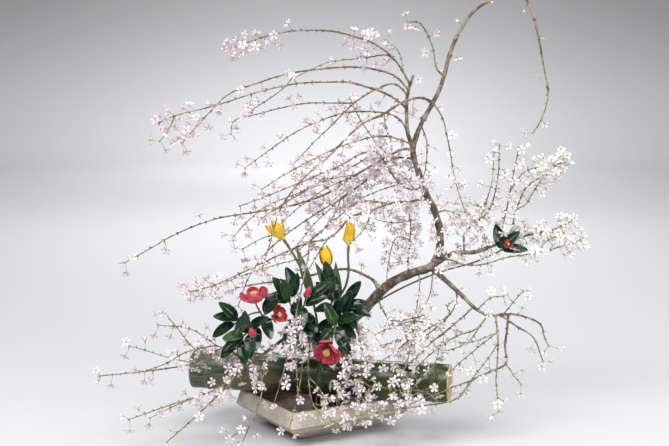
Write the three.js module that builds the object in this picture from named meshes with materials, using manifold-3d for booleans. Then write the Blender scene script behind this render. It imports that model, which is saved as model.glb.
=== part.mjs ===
// Ikebana arrangement: a weeping cherry limb, camellias and tulips in a low stoneware bowl,
// with a length of green bamboo laid across the rim.
//
// Millimetres, +Z up. The origin is the centre of the bowl's flat underside, the front is -Y.
// Stems and twigs are routed by eye: a stop [across, down, depth] is a point of the front view,
// in picture units, and the depth in mm at which it lies (minus is nearer to the viewer).

import * as THREE from 'three';
import { mergeVertices } from 'three/addons/utils/BufferGeometryUtils.js';
import Module from 'manifold-3d';

const wasm = await Module();
wasm.setup();

// ---------------------------------------------------------------- driving dimensions

const GAP = 0.3;                       // clearance between neighbouring pieces

const BOWL = {
  turn: THREE.MathUtils.degToRad(31),  // plan angle of the long side
  base: [93, 75],                      // half sizes of each level
  crease: [150, 132],
  rim: [141, 123],
  creaseHeight: 42,
  height: 75,
  wall: 9,
  floor: 12,
  cove: 4,                             // how far the inside foot of the wall stands in
  lip: 2.5,                            // rounding of the rim
  corner: 10,                          // radius of the upright corners
};
const WATER = { level: 58, clear: 0.6 };

const BAMBOO = {
  radius: 42,
  bore: 33,
  length: 583,
  middle: [-2, -27],                   // plan position of its mid-length
  yaw: THREE.MathUtils.degToRad(-13),
  septum: 45,                          // depth of the open ends
  nodes: [40, 300, 548],               // places of the ridges along it
  ridge: 2.2,
  ridgeHalf: 7,
  chamfer: 1.2,
  sides: 14,
};

const KENZAN = {
  centre: [14, 38],
  radius: 42,
  plate: 13,
  needle: 11,
  pitch: 10.5,
  needleRadius: 1.1,
  margin: 5,                           // edge of the plate with no needles
  clear: 1,
  sides: 16,
};

const VIEW = {                         // the front view that the stops are given in
  focus: new THREE.Vector3(31, 0, 458),
  distance: 3190,
  tilt: THREE.MathUtils.degToRad(8.5),
  scale: 1450,
  middle: [334.5, 223],
};

const BLOSSOM = {
  radius: 13,
  pedicel: 22,
  cup: 3.2,                            // how far the petal tips stand forward
  waist: 0.4,                          // radius between two petals, as a share
  heart: 0.9,
  calyx: 1.7,
  calyxDepth: 2.2,
  madeEvery: 5,
};
const BUD = { radius: 2.6, length: 8, pedicel: 17 };
const YOUNG_LEAF = { length: 20, half: 3.6, thick: 1.3, arch: 1 };

// How what grows on a twig leaves it: leaning to the tip, to the front and down.
const OUTWARD = { toTip: 0.35, lean: new THREE.Vector3(0, -0.15, -0.25) };
const FACING = new THREE.Vector3(0, -0.6, 0.05);
const PEDICEL_VARIES = 0.15;
const PLACES_TRIED = 8;
const TIP_ROOT = 2;                    // root of the last blossoms, back from the twig's end
const GOLDEN_ANGLE = 2.399963;

const ROOM = { step: 6, ground: 4, bowl: 2, bamboo: 3, pedicel: 2 };
const TWIG_SIDES = [[8, 8], [3.4, 5], [0, 3]];   // sides of a twig over each root radius
const UP = new THREE.Vector3(0, 0, 1);

const COLOUR = {
  glaze: [0xb9b1a2, 0.55],
  water: [0x2a2620, 0.1],
  lead: [0x6d6f70, 0.5],
  bamboo: [0x26361e, 0.3],
  bark: [0x6e6259, 0.85],
  spray: [0xe9dfe4, 0.7],
  camelliaLeaf: [0x1d3a22, 0.3],
  camelliaPetal: [0xc8324c, 0.5],
  stamen: [0xe6c15a, 0.7],
  tulip: [0xf0c51c, 0.45],
  tulipLeaf: [0x6d8a5a, 0.55],
};

// ---------------------------------------------------------------- solids

const arrangement = new THREE.Group();

function finish(name, solid, [colour, roughness], metalness = 0) {
  const { vertProperties, triVerts } = solid.getMesh();
  const geometry = new THREE.BufferGeometry();
  geometry.setAttribute('position', new THREE.BufferAttribute(vertProperties, 3));
  geometry.setIndex(new THREE.BufferAttribute(triVerts, 1));
  geometry.computeVertexNormals();
  const material = new THREE.MeshStandardMaterial({ color: colour, roughness, metalness });
  const mesh = new THREE.Mesh(geometry, material);
  mesh.name = name;
  arrangement.add(mesh);
}

// A three.js geometry as a solid.
function solidOf(geometry) {
  geometry.deleteAttribute('normal');
  geometry.deleteAttribute('uv');
  const merged = mergeVertices(geometry, 1e-4);
  return new wasm.Manifold(new wasm.Mesh({
    numProp: 3,
    vertProperties: Float32Array.from(merged.attributes.position.array),
    triVerts: Uint32Array.from(merged.index.array),
  }));
}

// A closed solid from corner points and the triangles between them, turned to face out.
function facetSolid(points, triangles) {
  let volume = 0;
  for (const [a, b, c] of triangles) {
    volume += points[a].dot(new THREE.Vector3().crossVectors(points[b], points[c]));
  }
  const facing = volume > 0 ? triangles : triangles.map(([a, b, c]) => [a, c, b]);
  return new wasm.Manifold(new wasm.Mesh({
    numProp: 3,
    vertProperties: Float32Array.from(points.flatMap((p) => p.toArray())),
    triVerts: Uint32Array.from(facing.flat()),
  }));
}

// A skin over rings with the same number of points, closed by a point at each end.
function loft(rings, first = middleOf(rings[0]), last = middleOf(rings.at(-1))) {
  const count = rings[0].length;
  const points = [...rings.flat(), first, last];
  const firstIndex = points.length - 2;
  const lastIndex = points.length - 1;
  const triangles = [];
  for (let i = 0; i < count; i++) {
    const next = (i + 1) % count;
    triangles.push([firstIndex, next, i]);
    for (let ring = 0; ring < rings.length - 1; ring++) {
      const low = ring * count;
      const high = low + count;
      triangles.push([low + i, low + next, high + next], [low + i, high + next, high + i]);
    }
    const top = (rings.length - 1) * count;
    triangles.push([lastIndex, top + i, top + next]);
  }
  return facetSolid(points, triangles);
}

function middleOf(ring) {
  const sum = new THREE.Vector3();
  ring.forEach((p) => sum.add(p));
  return sum.divideScalar(ring.length);
}

function joined(solids) {
  return solids.reduce((whole, solid) => whole.add(solid));
}

// ---------------------------------------------------------------- routes

// The point of the front view at [across, down], at the given depth.
function seen([across, down, depth]) {
  const forward = new THREE.Vector3(0, Math.cos(VIEW.tilt), -Math.sin(VIEW.tilt));
  const upward = new THREE.Vector3(0, Math.sin(VIEW.tilt), Math.cos(VIEW.tilt));
  const eye = VIEW.focus.clone().addScaledVector(forward, -VIEW.distance);
  const ray = forward.clone().multiplyScalar(VIEW.scale);
  ray.x += across - VIEW.middle[0];
  ray.addScaledVector(upward, VIEW.middle[1] - down);
  return eye.addScaledVector(ray, (depth - eye.y) / ray.y);
}

// Where a stem stands on the needle holder.
function foot(x, y) {
  return new THREE.Vector3(x, y, BOWL.floor + 2 * GAP + KENZAN.plate);
}

// A smooth line through the stops, cut into the given number of equal steps.
function route(stops, steps) {
  const points = stops.map((stop) => (stop.isVector3 ? stop : seen(stop)));
  const curve = new THREE.CatmullRomCurve3(points, false, 'centripetal');
  const fine = [];
  const samples = 8 * (points.length - 1);
  for (let i = 0; i <= samples; i++) fine.push(curve.getPoint(i / samples));
  const reach = [0];
  for (let i = 1; i <= samples; i++) reach.push(reach[i - 1] + fine[i].distanceTo(fine[i - 1]));
  const stations = [];
  let at = 0;
  for (let i = 0; i <= steps; i++) {
    const target = reach[samples] * i / steps;
    while (at < samples - 1 && reach[at + 1] < target) at++;
    const part = (target - reach[at]) / (reach[at + 1] - reach[at]);
    stations.push(fine[at].clone().lerp(fine[at + 1], Math.min(part, 1)));
  }
  return stations;
}

function direction(from, to) {
  return to.clone().sub(from).normalize();
}

// The direction of a line of stations at one of them.
function heading(stations, i) {
  return direction(stations[Math.max(i - 1, 0)], stations[Math.min(i + 1, stations.length - 1)]);
}

// A unit vector square to the given one, nearest to the guide.
function squareTo(along, guide) {
  const side = guide.clone().addScaledVector(along, -guide.dot(along));
  if (side.length() < 0.05) side.set(along.z, 0, -along.x);
  return side.normalize();
}

function taper([first, last], part) {
  return first + (last - first) * part;
}

function standsOnHolder(station) {
  return station.z < BOWL.floor + KENZAN.plate + 1;
}

// A round stem that tapers along its stations, cut level where it stands on the holder.
function stem(stations, radii, sides) {
  let side = squareTo(heading(stations, 0), new THREE.Vector3(0, -1, 0));
  const rings = stations.map((station, i) => {
    const along = i === 0 && standsOnHolder(station) ? UP : heading(stations, i);
    side = squareTo(along, side);
    const other = new THREE.Vector3().crossVectors(along, side);
    const radius = taper(radii, i / (stations.length - 1));
    const ring = [];
    for (let k = 0; k < sides; k++) {
      const angle = 2 * Math.PI * k / sides;
      ring.push(station.clone()
        .addScaledVector(side, radius * Math.cos(angle))
        .addScaledVector(other, radius * Math.sin(angle)));
    }
    return ring;
  });
  return loft(rings);
}

// ---------------------------------------------------------------- room

// Every piece claims room as balls, and a blossom is only placed where no other piece is.
const claims = [];

function claim(owner, centre, radius) {
  claims.push({ owner, centre, radius });
}

function claimLine(owner, from, to, radius) {
  const count = Math.max(1, Math.ceil(from.distanceTo(to) / ROOM.step));
  for (let i = 0; i <= count; i++) claim(owner, from.clone().lerp(to, i / count), radius);
}

function claimRoute(owner, stations, radii) {
  for (let i = 1; i < stations.length; i++) {
    claimLine(owner, stations[i - 1], stations[i], taper(radii, i / (stations.length - 1)));
  }
}

function isFree(owner, centre, radius) {
  if (centre.z < radius + ROOM.ground || inBowl(centre, radius + ROOM.bowl)) return false;
  return claims.every((taken) => taken.owner === owner
    || taken.centre.distanceTo(centre) > taken.radius + radius);
}

function inBowl(point, margin) {
  if (point.z > BOWL.height + margin) return false;
  const along = point.x * Math.cos(BOWL.turn) + point.y * Math.sin(BOWL.turn);
  const over = -point.x * Math.sin(BOWL.turn) + point.y * Math.cos(BOWL.turn);
  return Math.abs(along) < BOWL.crease[0] + margin && Math.abs(over) < BOWL.crease[1] + margin;
}

// ---------------------------------------------------------------- bowl, water, needle holder

// A rectangle with rounded corners, turned to the bowl's plan angle.
function plate([halfLength, halfWidth], corner, height) {
  const ring = [];
  const centres = [[1, 1], [-1, 1], [-1, -1], [1, -1]];
  centres.forEach(([x, y], quarter) => {
    for (let k = 0; k <= 2; k++) {
      const angle = (quarter + k / 2) * Math.PI / 2;
      ring.push(new THREE.Vector3(
        x * (halfLength - corner) + corner * Math.cos(angle),
        y * (halfWidth - corner) + corner * Math.sin(angle),
        height,
      ).applyAxisAngle(UP, BOWL.turn));
    }
  });
  return ring;
}

function shrunk([halfLength, halfWidth], by) {
  return [halfLength - by, halfWidth - by];
}

// Half sizes of the bowl's outside at a height.
function bowlAt(height) {
  const below = height < BOWL.creaseHeight;
  const part = below
    ? height / BOWL.creaseHeight
    : (height - BOWL.creaseHeight) / (BOWL.height - BOWL.creaseHeight);
  const from = below ? BOWL.base : BOWL.crease;
  const to = below ? BOWL.crease : BOWL.rim;
  return [0, 1].map((i) => taper([from[i], to[i]], part));
}

function bowl() {
  const levels = [
    [0, 0],
    [BOWL.creaseHeight, 0],
    [BOWL.height - BOWL.lip, 0],
    [BOWL.height, BOWL.lip],
    [BOWL.height, BOWL.wall - BOWL.lip],
    [BOWL.height - BOWL.lip, BOWL.wall],
    [BOWL.creaseHeight, BOWL.wall],
    [BOWL.floor, BOWL.wall + BOWL.cove],
  ];
  return loft(levels.map(([height, inset]) => (
    plate(shrunk(bowlAt(height), inset), BOWL.corner - inset * 0.5, height))));
}

// The water fills the bowl to its level, with plain holes for what stands in it.
function water(standing) {
  const levels = [
    [BOWL.floor + GAP, BOWL.wall + BOWL.cove],
    [BOWL.creaseHeight, BOWL.wall],
    [WATER.level, BOWL.wall],
  ];
  const body = loft(levels.map(([height, wall]) => {
    const inset = wall + WATER.clear;
    return plate(shrunk(bowlAt(height), inset), BOWL.corner - BOWL.wall * 0.5, height);
  }));
  const pitRadius = KENZAN.radius + KENZAN.clear;
  const pitHeight = KENZAN.plate + KENZAN.needle + 3 * KENZAN.clear;
  const pit = new THREE.CylinderGeometry(pitRadius, pitRadius, pitHeight, KENZAN.sides);
  pit.rotateX(Math.PI / 2);
  pit.translate(...KENZAN.centre, BOWL.floor + (KENZAN.plate + KENZAN.needle) / 2);
  let cut = body.subtract(solidOf(pit));
  for (const [stations, radii, sides] of standing) {
    const wider = radii.map((radius) => radius + WATER.clear);
    cut = cut.subtract(stem(stations, wider, sides));
  }
  return cut;
}

// A lead plate with upright needles, which leaves out the needles that a stem has pushed aside.
function needleHolder(feet) {
  const base = BOWL.floor + GAP;
  const profile = [
    [0, base],
    [KENZAN.radius, base],
    [KENZAN.radius, base + KENZAN.plate - KENZAN.clear],
    [KENZAN.radius - KENZAN.clear, base + KENZAN.plate],
    [0, base + KENZAN.plate],
  ].map(([radius, height]) => new THREE.Vector2(radius, height));
  const lead = new THREE.LatheGeometry(profile, KENZAN.sides);
  lead.rotateX(Math.PI / 2);
  lead.translate(...KENZAN.centre, 0);
  let holder = solidOf(lead);
  const reach = KENZAN.radius - KENZAN.margin;
  const rows = Math.floor(reach / KENZAN.pitch);
  for (let row = -rows; row <= rows; row++) {
    for (let column = -rows - 1; column <= rows; column++) {
      const x = (column + (row % 2 ? 0.5 : 0)) * KENZAN.pitch;
      const y = row * KENZAN.pitch * Math.sqrt(3) / 2;
      const at = new THREE.Vector3(KENZAN.centre[0] + x, KENZAN.centre[1] + y, base);
      const room = KENZAN.needleRadius + KENZAN.clear;
      const pushed = feet.some(([station, radius]) => (
        Math.hypot(station.x - at.x, station.y - at.y) < radius + room));
      if (Math.hypot(x, y) < reach && !pushed) holder = holder.add(needle(at));
    }
  }
  return holder;
}

function needle(at) {
  const ring = [0, 1, 2].map((k) => new THREE.Vector3(
    at.x + KENZAN.needleRadius * Math.cos(k * 2 * Math.PI / 3),
    at.y + KENZAN.needleRadius * Math.sin(k * 2 * Math.PI / 3),
    at.z + KENZAN.plate - KENZAN.clear,
  ));
  const tip = at.clone().setZ(at.z + KENZAN.plate + KENZAN.needle);
  return loft([ring], middleOf(ring), tip);
}

// ---------------------------------------------------------------- bamboo

// A cut length of bamboo: ridged at its nodes, open at each end down to the next septum.
function bamboo() {
  const { radius, bore, length, septum, nodes, ridge, ridgeHalf, chamfer } = BAMBOO;
  const profile = [[0, septum], [bore, septum], [bore, 0], [radius - chamfer, 0]];
  profile.push([radius, chamfer]);
  for (const node of nodes) {
    profile.push([radius, node - ridgeHalf], [radius + ridge, node], [radius, node + ridgeHalf]);
  }
  profile.push([radius, length - chamfer], [radius - chamfer, length], [bore, length]);
  profile.push([bore, length - septum], [0, length - septum]);
  const points = profile.map(([out, along]) => new THREE.Vector2(out, along - length / 2));
  const log = new THREE.LatheGeometry(points, BAMBOO.sides);
  log.rotateZ(-Math.PI / 2);
  log.rotateZ(BAMBOO.yaw);
  log.translate(...BAMBOO.middle, bambooHeight());
  return solidOf(log);
}

// Its nodes stand clear of the rim.
function bambooHeight() {
  return BOWL.height + BAMBOO.radius + BAMBOO.ridge + GAP;
}

function claimBamboo() {
  const half = new THREE.Vector3((BAMBOO.length - BAMBOO.radius) / 2, 0, 0)
    .applyAxisAngle(UP, BAMBOO.yaw);
  const middle = new THREE.Vector3(...BAMBOO.middle, bambooHeight());
  claimLine('bamboo', middle.clone().sub(half), middle.clone().add(half),
    BAMBOO.radius + ROOM.bamboo);
}

// ---------------------------------------------------------------- blossoms, buds, young leaves

// A five-petalled blossom on its pedicel: a shallow star whose calyx narrows to the root.
function blossom(root, centre, facing) {
  const across = squareTo(facing, UP);
  const over = new THREE.Vector3().crossVectors(facing, across);
  const around = (radius, angle, lift) => centre.clone()
    .addScaledVector(across, radius * Math.cos(angle))
    .addScaledVector(over, radius * Math.sin(angle))
    .addScaledVector(facing, lift);
  const points = [];
  for (let i = 0; i < 10; i++) {
    const waist = i % 2 === 1;
    const radius = BLOSSOM.radius * (waist ? BLOSSOM.waist : 1);
    points.push(around(radius, i * Math.PI / 5, BLOSSOM.cup * (waist ? 0.3 : 1)));
  }
  for (let k = 0; k < 3; k++) {
    points.push(around(BLOSSOM.calyx, k * 2 * Math.PI / 3, -BLOSSOM.calyxDepth));
  }
  points.push(around(0, 0, BLOSSOM.heart), root);
  const triangles = [];
  const calyxOf = (i) => 10 + Math.floor((i % 10) * 3 / 10);
  for (let i = 0; i < 10; i++) {
    const next = (i + 1) % 10;
    triangles.push([i, next, 13], [next, i, calyxOf(i)]);
    if (calyxOf(i) !== calyxOf(next)) triangles.push([next, calyxOf(i), calyxOf(next)]);
  }
  for (let k = 0; k < 3; k++) triangles.push([10 + (k + 1) % 3, 10 + k, 14]);
  return facetSolid(points, triangles);
}

// A closed bud: a slim spindle that narrows to the root.
function bud(root, centre, facing) {
  const across = squareTo(facing, UP);
  const over = new THREE.Vector3().crossVectors(facing, across);
  const ring = [0, 1, 2].map((k) => centre.clone()
    .addScaledVector(across, BUD.radius * Math.cos(k * 2 * Math.PI / 3))
    .addScaledVector(over, BUD.radius * Math.sin(k * 2 * Math.PI / 3)));
  return loft([ring], root, centre.clone().addScaledVector(facing, BUD.length * 0.6));
}

// A blade, four-cornered at each row: its edges raised by the lift, its spine as thick as given.
function blade(base, rows, tip) {
  const rings = rows.map(({ centre, half, side, up, lift = 0, thick }) => [
    centre.clone().addScaledVector(side, -half).addScaledVector(up, lift),
    centre.clone().addScaledVector(up, thick / 2),
    centre.clone().addScaledVector(side, half).addScaledVector(up, lift),
    centre.clone().addScaledVector(up, -thick / 2),
  ]);
  return loft(rings, base, tip);
}

function youngLeaf(root, along, up) {
  const side = new THREE.Vector3().crossVectors(along, up).normalize();
  const rows = [{
    centre: root.clone().addScaledVector(along, YOUNG_LEAF.length * 0.55),
    half: YOUNG_LEAF.half,
    thick: YOUNG_LEAF.thick,
    lift: YOUNG_LEAF.arch,
    side,
    up,
  }];
  return blade(root, rows, root.clone().addScaledVector(along, YOUNG_LEAF.length));
}

// The way in which a pedicel leaves its twig.
function outward(along, turn) {
  const side = squareTo(along, new THREE.Vector3(0, -1, 0));
  return side.applyAxisAngle(along, turn)
    .addScaledVector(along, OUTWARD.toTip)
    .add(OUTWARD.lean)
    .normalize();
}

// What grows at the stations of a twig. Each mark of its growth is for one station: a digit is
// a number of blossoms, b is a bud, v is a young leaf, and - is bare. Room is kept for every
// blossom, and one in a fixed number of them, with all at the tip, are made.
function grow(owner, part, solids, firstTurn) {
  let turn = firstTurn;
  [...part.growth].forEach((mark, i) => {
    const along = heading(part.stations, i + 1);
    const atTip = i + 1 === part.growth.length;
    const root = part.stations[i + 1].clone().addScaledVector(along, atTip ? -TIP_ROOT : 0);
    const blossoms = Number(mark) || 0;
    for (let k = 0; k < blossoms; k++) {
      turn++;
      const place = freePlace(owner, root, along, turn * GOLDEN_ANGLE, BLOSSOM.pedicel,
        BLOSSOM.radius);
      if (place && (atTip || turn % BLOSSOM.madeEvery === 0)) {
        solids.push(blossom(root, place.centre, place.facing));
      }
    }
    if (mark === 'b') {
      turn++;
      const place = freePlace(owner, root, along, turn * GOLDEN_ANGLE, BUD.pedicel,
        BUD.length * 0.6);
      if (place) solids.push(bud(root, place.centre, place.facing));
    }
    if (mark === 'v') {
      turn++;
      const place = freePlace(owner, root, along, turn * GOLDEN_ANGLE, YOUNG_LEAF.length * 0.6,
        YOUNG_LEAF.length * 0.4);
      if (place) solids.push(youngLeaf(root, place.out, squareTo(place.out, along)));
    }
  });
  return turn;
}

// The first of the places tried round the twig where nothing else is.
function freePlace(owner, root, along, turn, pedicel, radius) {
  for (let attempt = 0; attempt < PLACES_TRIED; attempt++) {
    const out = outward(along, turn + attempt * 2 * Math.PI / PLACES_TRIED);
    const length = pedicel * (1 + PEDICEL_VARIES * Math.sin(turn * 3));
    const centre = root.clone().addScaledVector(out, length);
    const half = root.clone().addScaledVector(out, length * 0.5);
    if (isFree(owner, centre, radius) && isFree(owner, half, ROOM.pedicel)) {
      claim(`${owner} growth`, centre, radius);
      claim(owner, half, ROOM.pedicel);
      const facing = out.clone().add(FACING).normalize();
      return { centre, facing, out };
    }
  }
  return null;
}

// ---------------------------------------------------------------- cherry

// A twig: its radii at root and tip, what grows along it, and its stops.
function twig(radii, growth, stops) {
  const [, sides] = TWIG_SIDES.find(([radius]) => radii[0] > radius);
  return { radii, growth, stops, sides };
}

const LIMB = [
  // trunk, from the needle holder up to the first forks
  twig([14, 9.5], '-----------', [foot(38, 46), [344, 345, 40], [352.9, 319.8, 34],
    [362.8, 310.6, 30], [372, 300.6, 26], [392.7, 282, 16], [415.6, 272, 5], [427, 268.5, 0],
    [439.4, 260, -4]]),
  // the limb that rises and arches over to the right
  twig([9, 5.5], '-1-1-1-1', [[436, 262, -4], [440, 245, -2], [439, 226, 0], [433, 207, 4],
    [426, 194, 6], [419.5, 175, 8], [413, 152, 10], [417, 134, 14], [423, 120, 18]]),
  twig([5.5, 1.2], '11b1-b-b--b-v-1v-11', [[423, 120, 18], [431.6, 105, 22], [440, 88, 26],
    [445, 72, 28], [450.5, 52, 32], [461, 29, 38], [473, 12, 44], [490, 0, 52], [508, -10, 60],
    [522, -6, 64], [533, 15, 68], [543.5, 65, 72], [548, 96, 72], [540, 122, 68],
    [533, 133, 66]]),
  twig([5, 3], '-1-1', [[412, 148, 10], [408, 134, 2], [406.6, 112, -4], [407.5, 95, -8],
    [412.7, 77, -12]]),
  // the fork to the right
  twig([6, 1.6], '-1-1--11121', [[437, 261, -4], [454, 253, 4], [474.6, 252, 16], [495, 245, 28],
    [518.7, 237, 38], [549, 231, 48], [559.5, 227, 52], [572, 221, 56]]),
  // the fork that comes down in front
  twig([6.5, 3], '--1-11', [[430, 267, -2], [443.7, 278.6, -12], [462.6, 296, -32],
    [476, 309, -44], [488, 315, -54], [500.5, 315, -62]]),
  twig([3, 1.4], '1-12', [[500.5, 315, -62], [512.5, 314, -68], [540, 324, -80],
    [545, 339, -84], [548.7, 346, -86]]),
  twig([2.4, 1.2], '-12', [[500.5, 315, -62], [517.7, 327, -80], [533, 337, -92],
    [543, 361, -98]]),
  // short twigs off the limb
  twig([2, 1.2], '112', [[427, 127, 16], [427, 150, 4], [425.5, 169, -8], [423, 178, -12]]),
  twig([2, 1.2], '21', [[439, 212, 2], [448, 210.6, -10], [468, 220, -18]]),
  twig([1.8, 1.1], '12', [[420, 271, 4], [419.5, 289, -8], [416, 310.6, -16]]),
  twig([1.8, 1.1], '121', [[433, 268, -2], [432, 282, -20], [429, 297, -34], [418, 316, -48]]),
  twig([1.6, 1], '12', [[504, 315, -63], [512.5, 303, -72], [523, 291, -78]]),
  twig([1.6, 1], '12', [[478, 310, -46], [490, 298, -38], [504, 296, -32]]),
  twig([2.2, 1.2], '-1212', [[376, 296, 22], [381, 306, 2], [388, 318, -14], [397, 321, -24],
    [425, 315, -38]]),
  twig([2.2, 1.2], '--1121', [[356, 316, 33], [358, 330, -14], [361, 345, -74],
    [361.7, 353, -100], [364, 387, -118], [367, 401, -124]]),
  twig([2.2, 1.2], '--1211', [[350, 325, 36], [346, 338, -20], [345, 354, -86],
    [341, 376, -112], [336, 400, -124]]),
];

const LOW_BRANCH = [
  twig([5, 2.4], '------1-1221', [foot(-16, 36), [314, 344, 34], [308, 334, 12], [300, 331, -18],
    [290, 334, -50], [277, 344, -80], [258, 358, -108], [240, 371, -124], [226, 384, -136]]),
  twig([1.6, 1], '-12', [[283, 341, -72], [286.5, 359, -120], [279.6, 385, -140],
    [274, 403.5, -150]]),
  twig([1.8, 1], '--1112', [[300, 332, -30], [303, 345, -100], [301, 376, -150],
    [297, 399, -176], [289, 429, -206]]),
  twig([1.8, 1], '--1121', [[308, 334, -4], [310, 345, -70], [308, 370, -130],
    [313.5, 405, -170], [326, 418, -186]]),
  twig([1.4, 1], '12', [[309, 378, -140], [320, 390, -150], [331, 421, -166]]),
  twig([1.8, 1], '-1-122', [[255, 360, -112], [262, 380, -150], [260, 401, -176],
    [248.6, 428, -200], [243, 441, -206]]),
  twig([1.2, 1], '2', [[249, 428, -200], [232, 436, -204]]),
];

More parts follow.
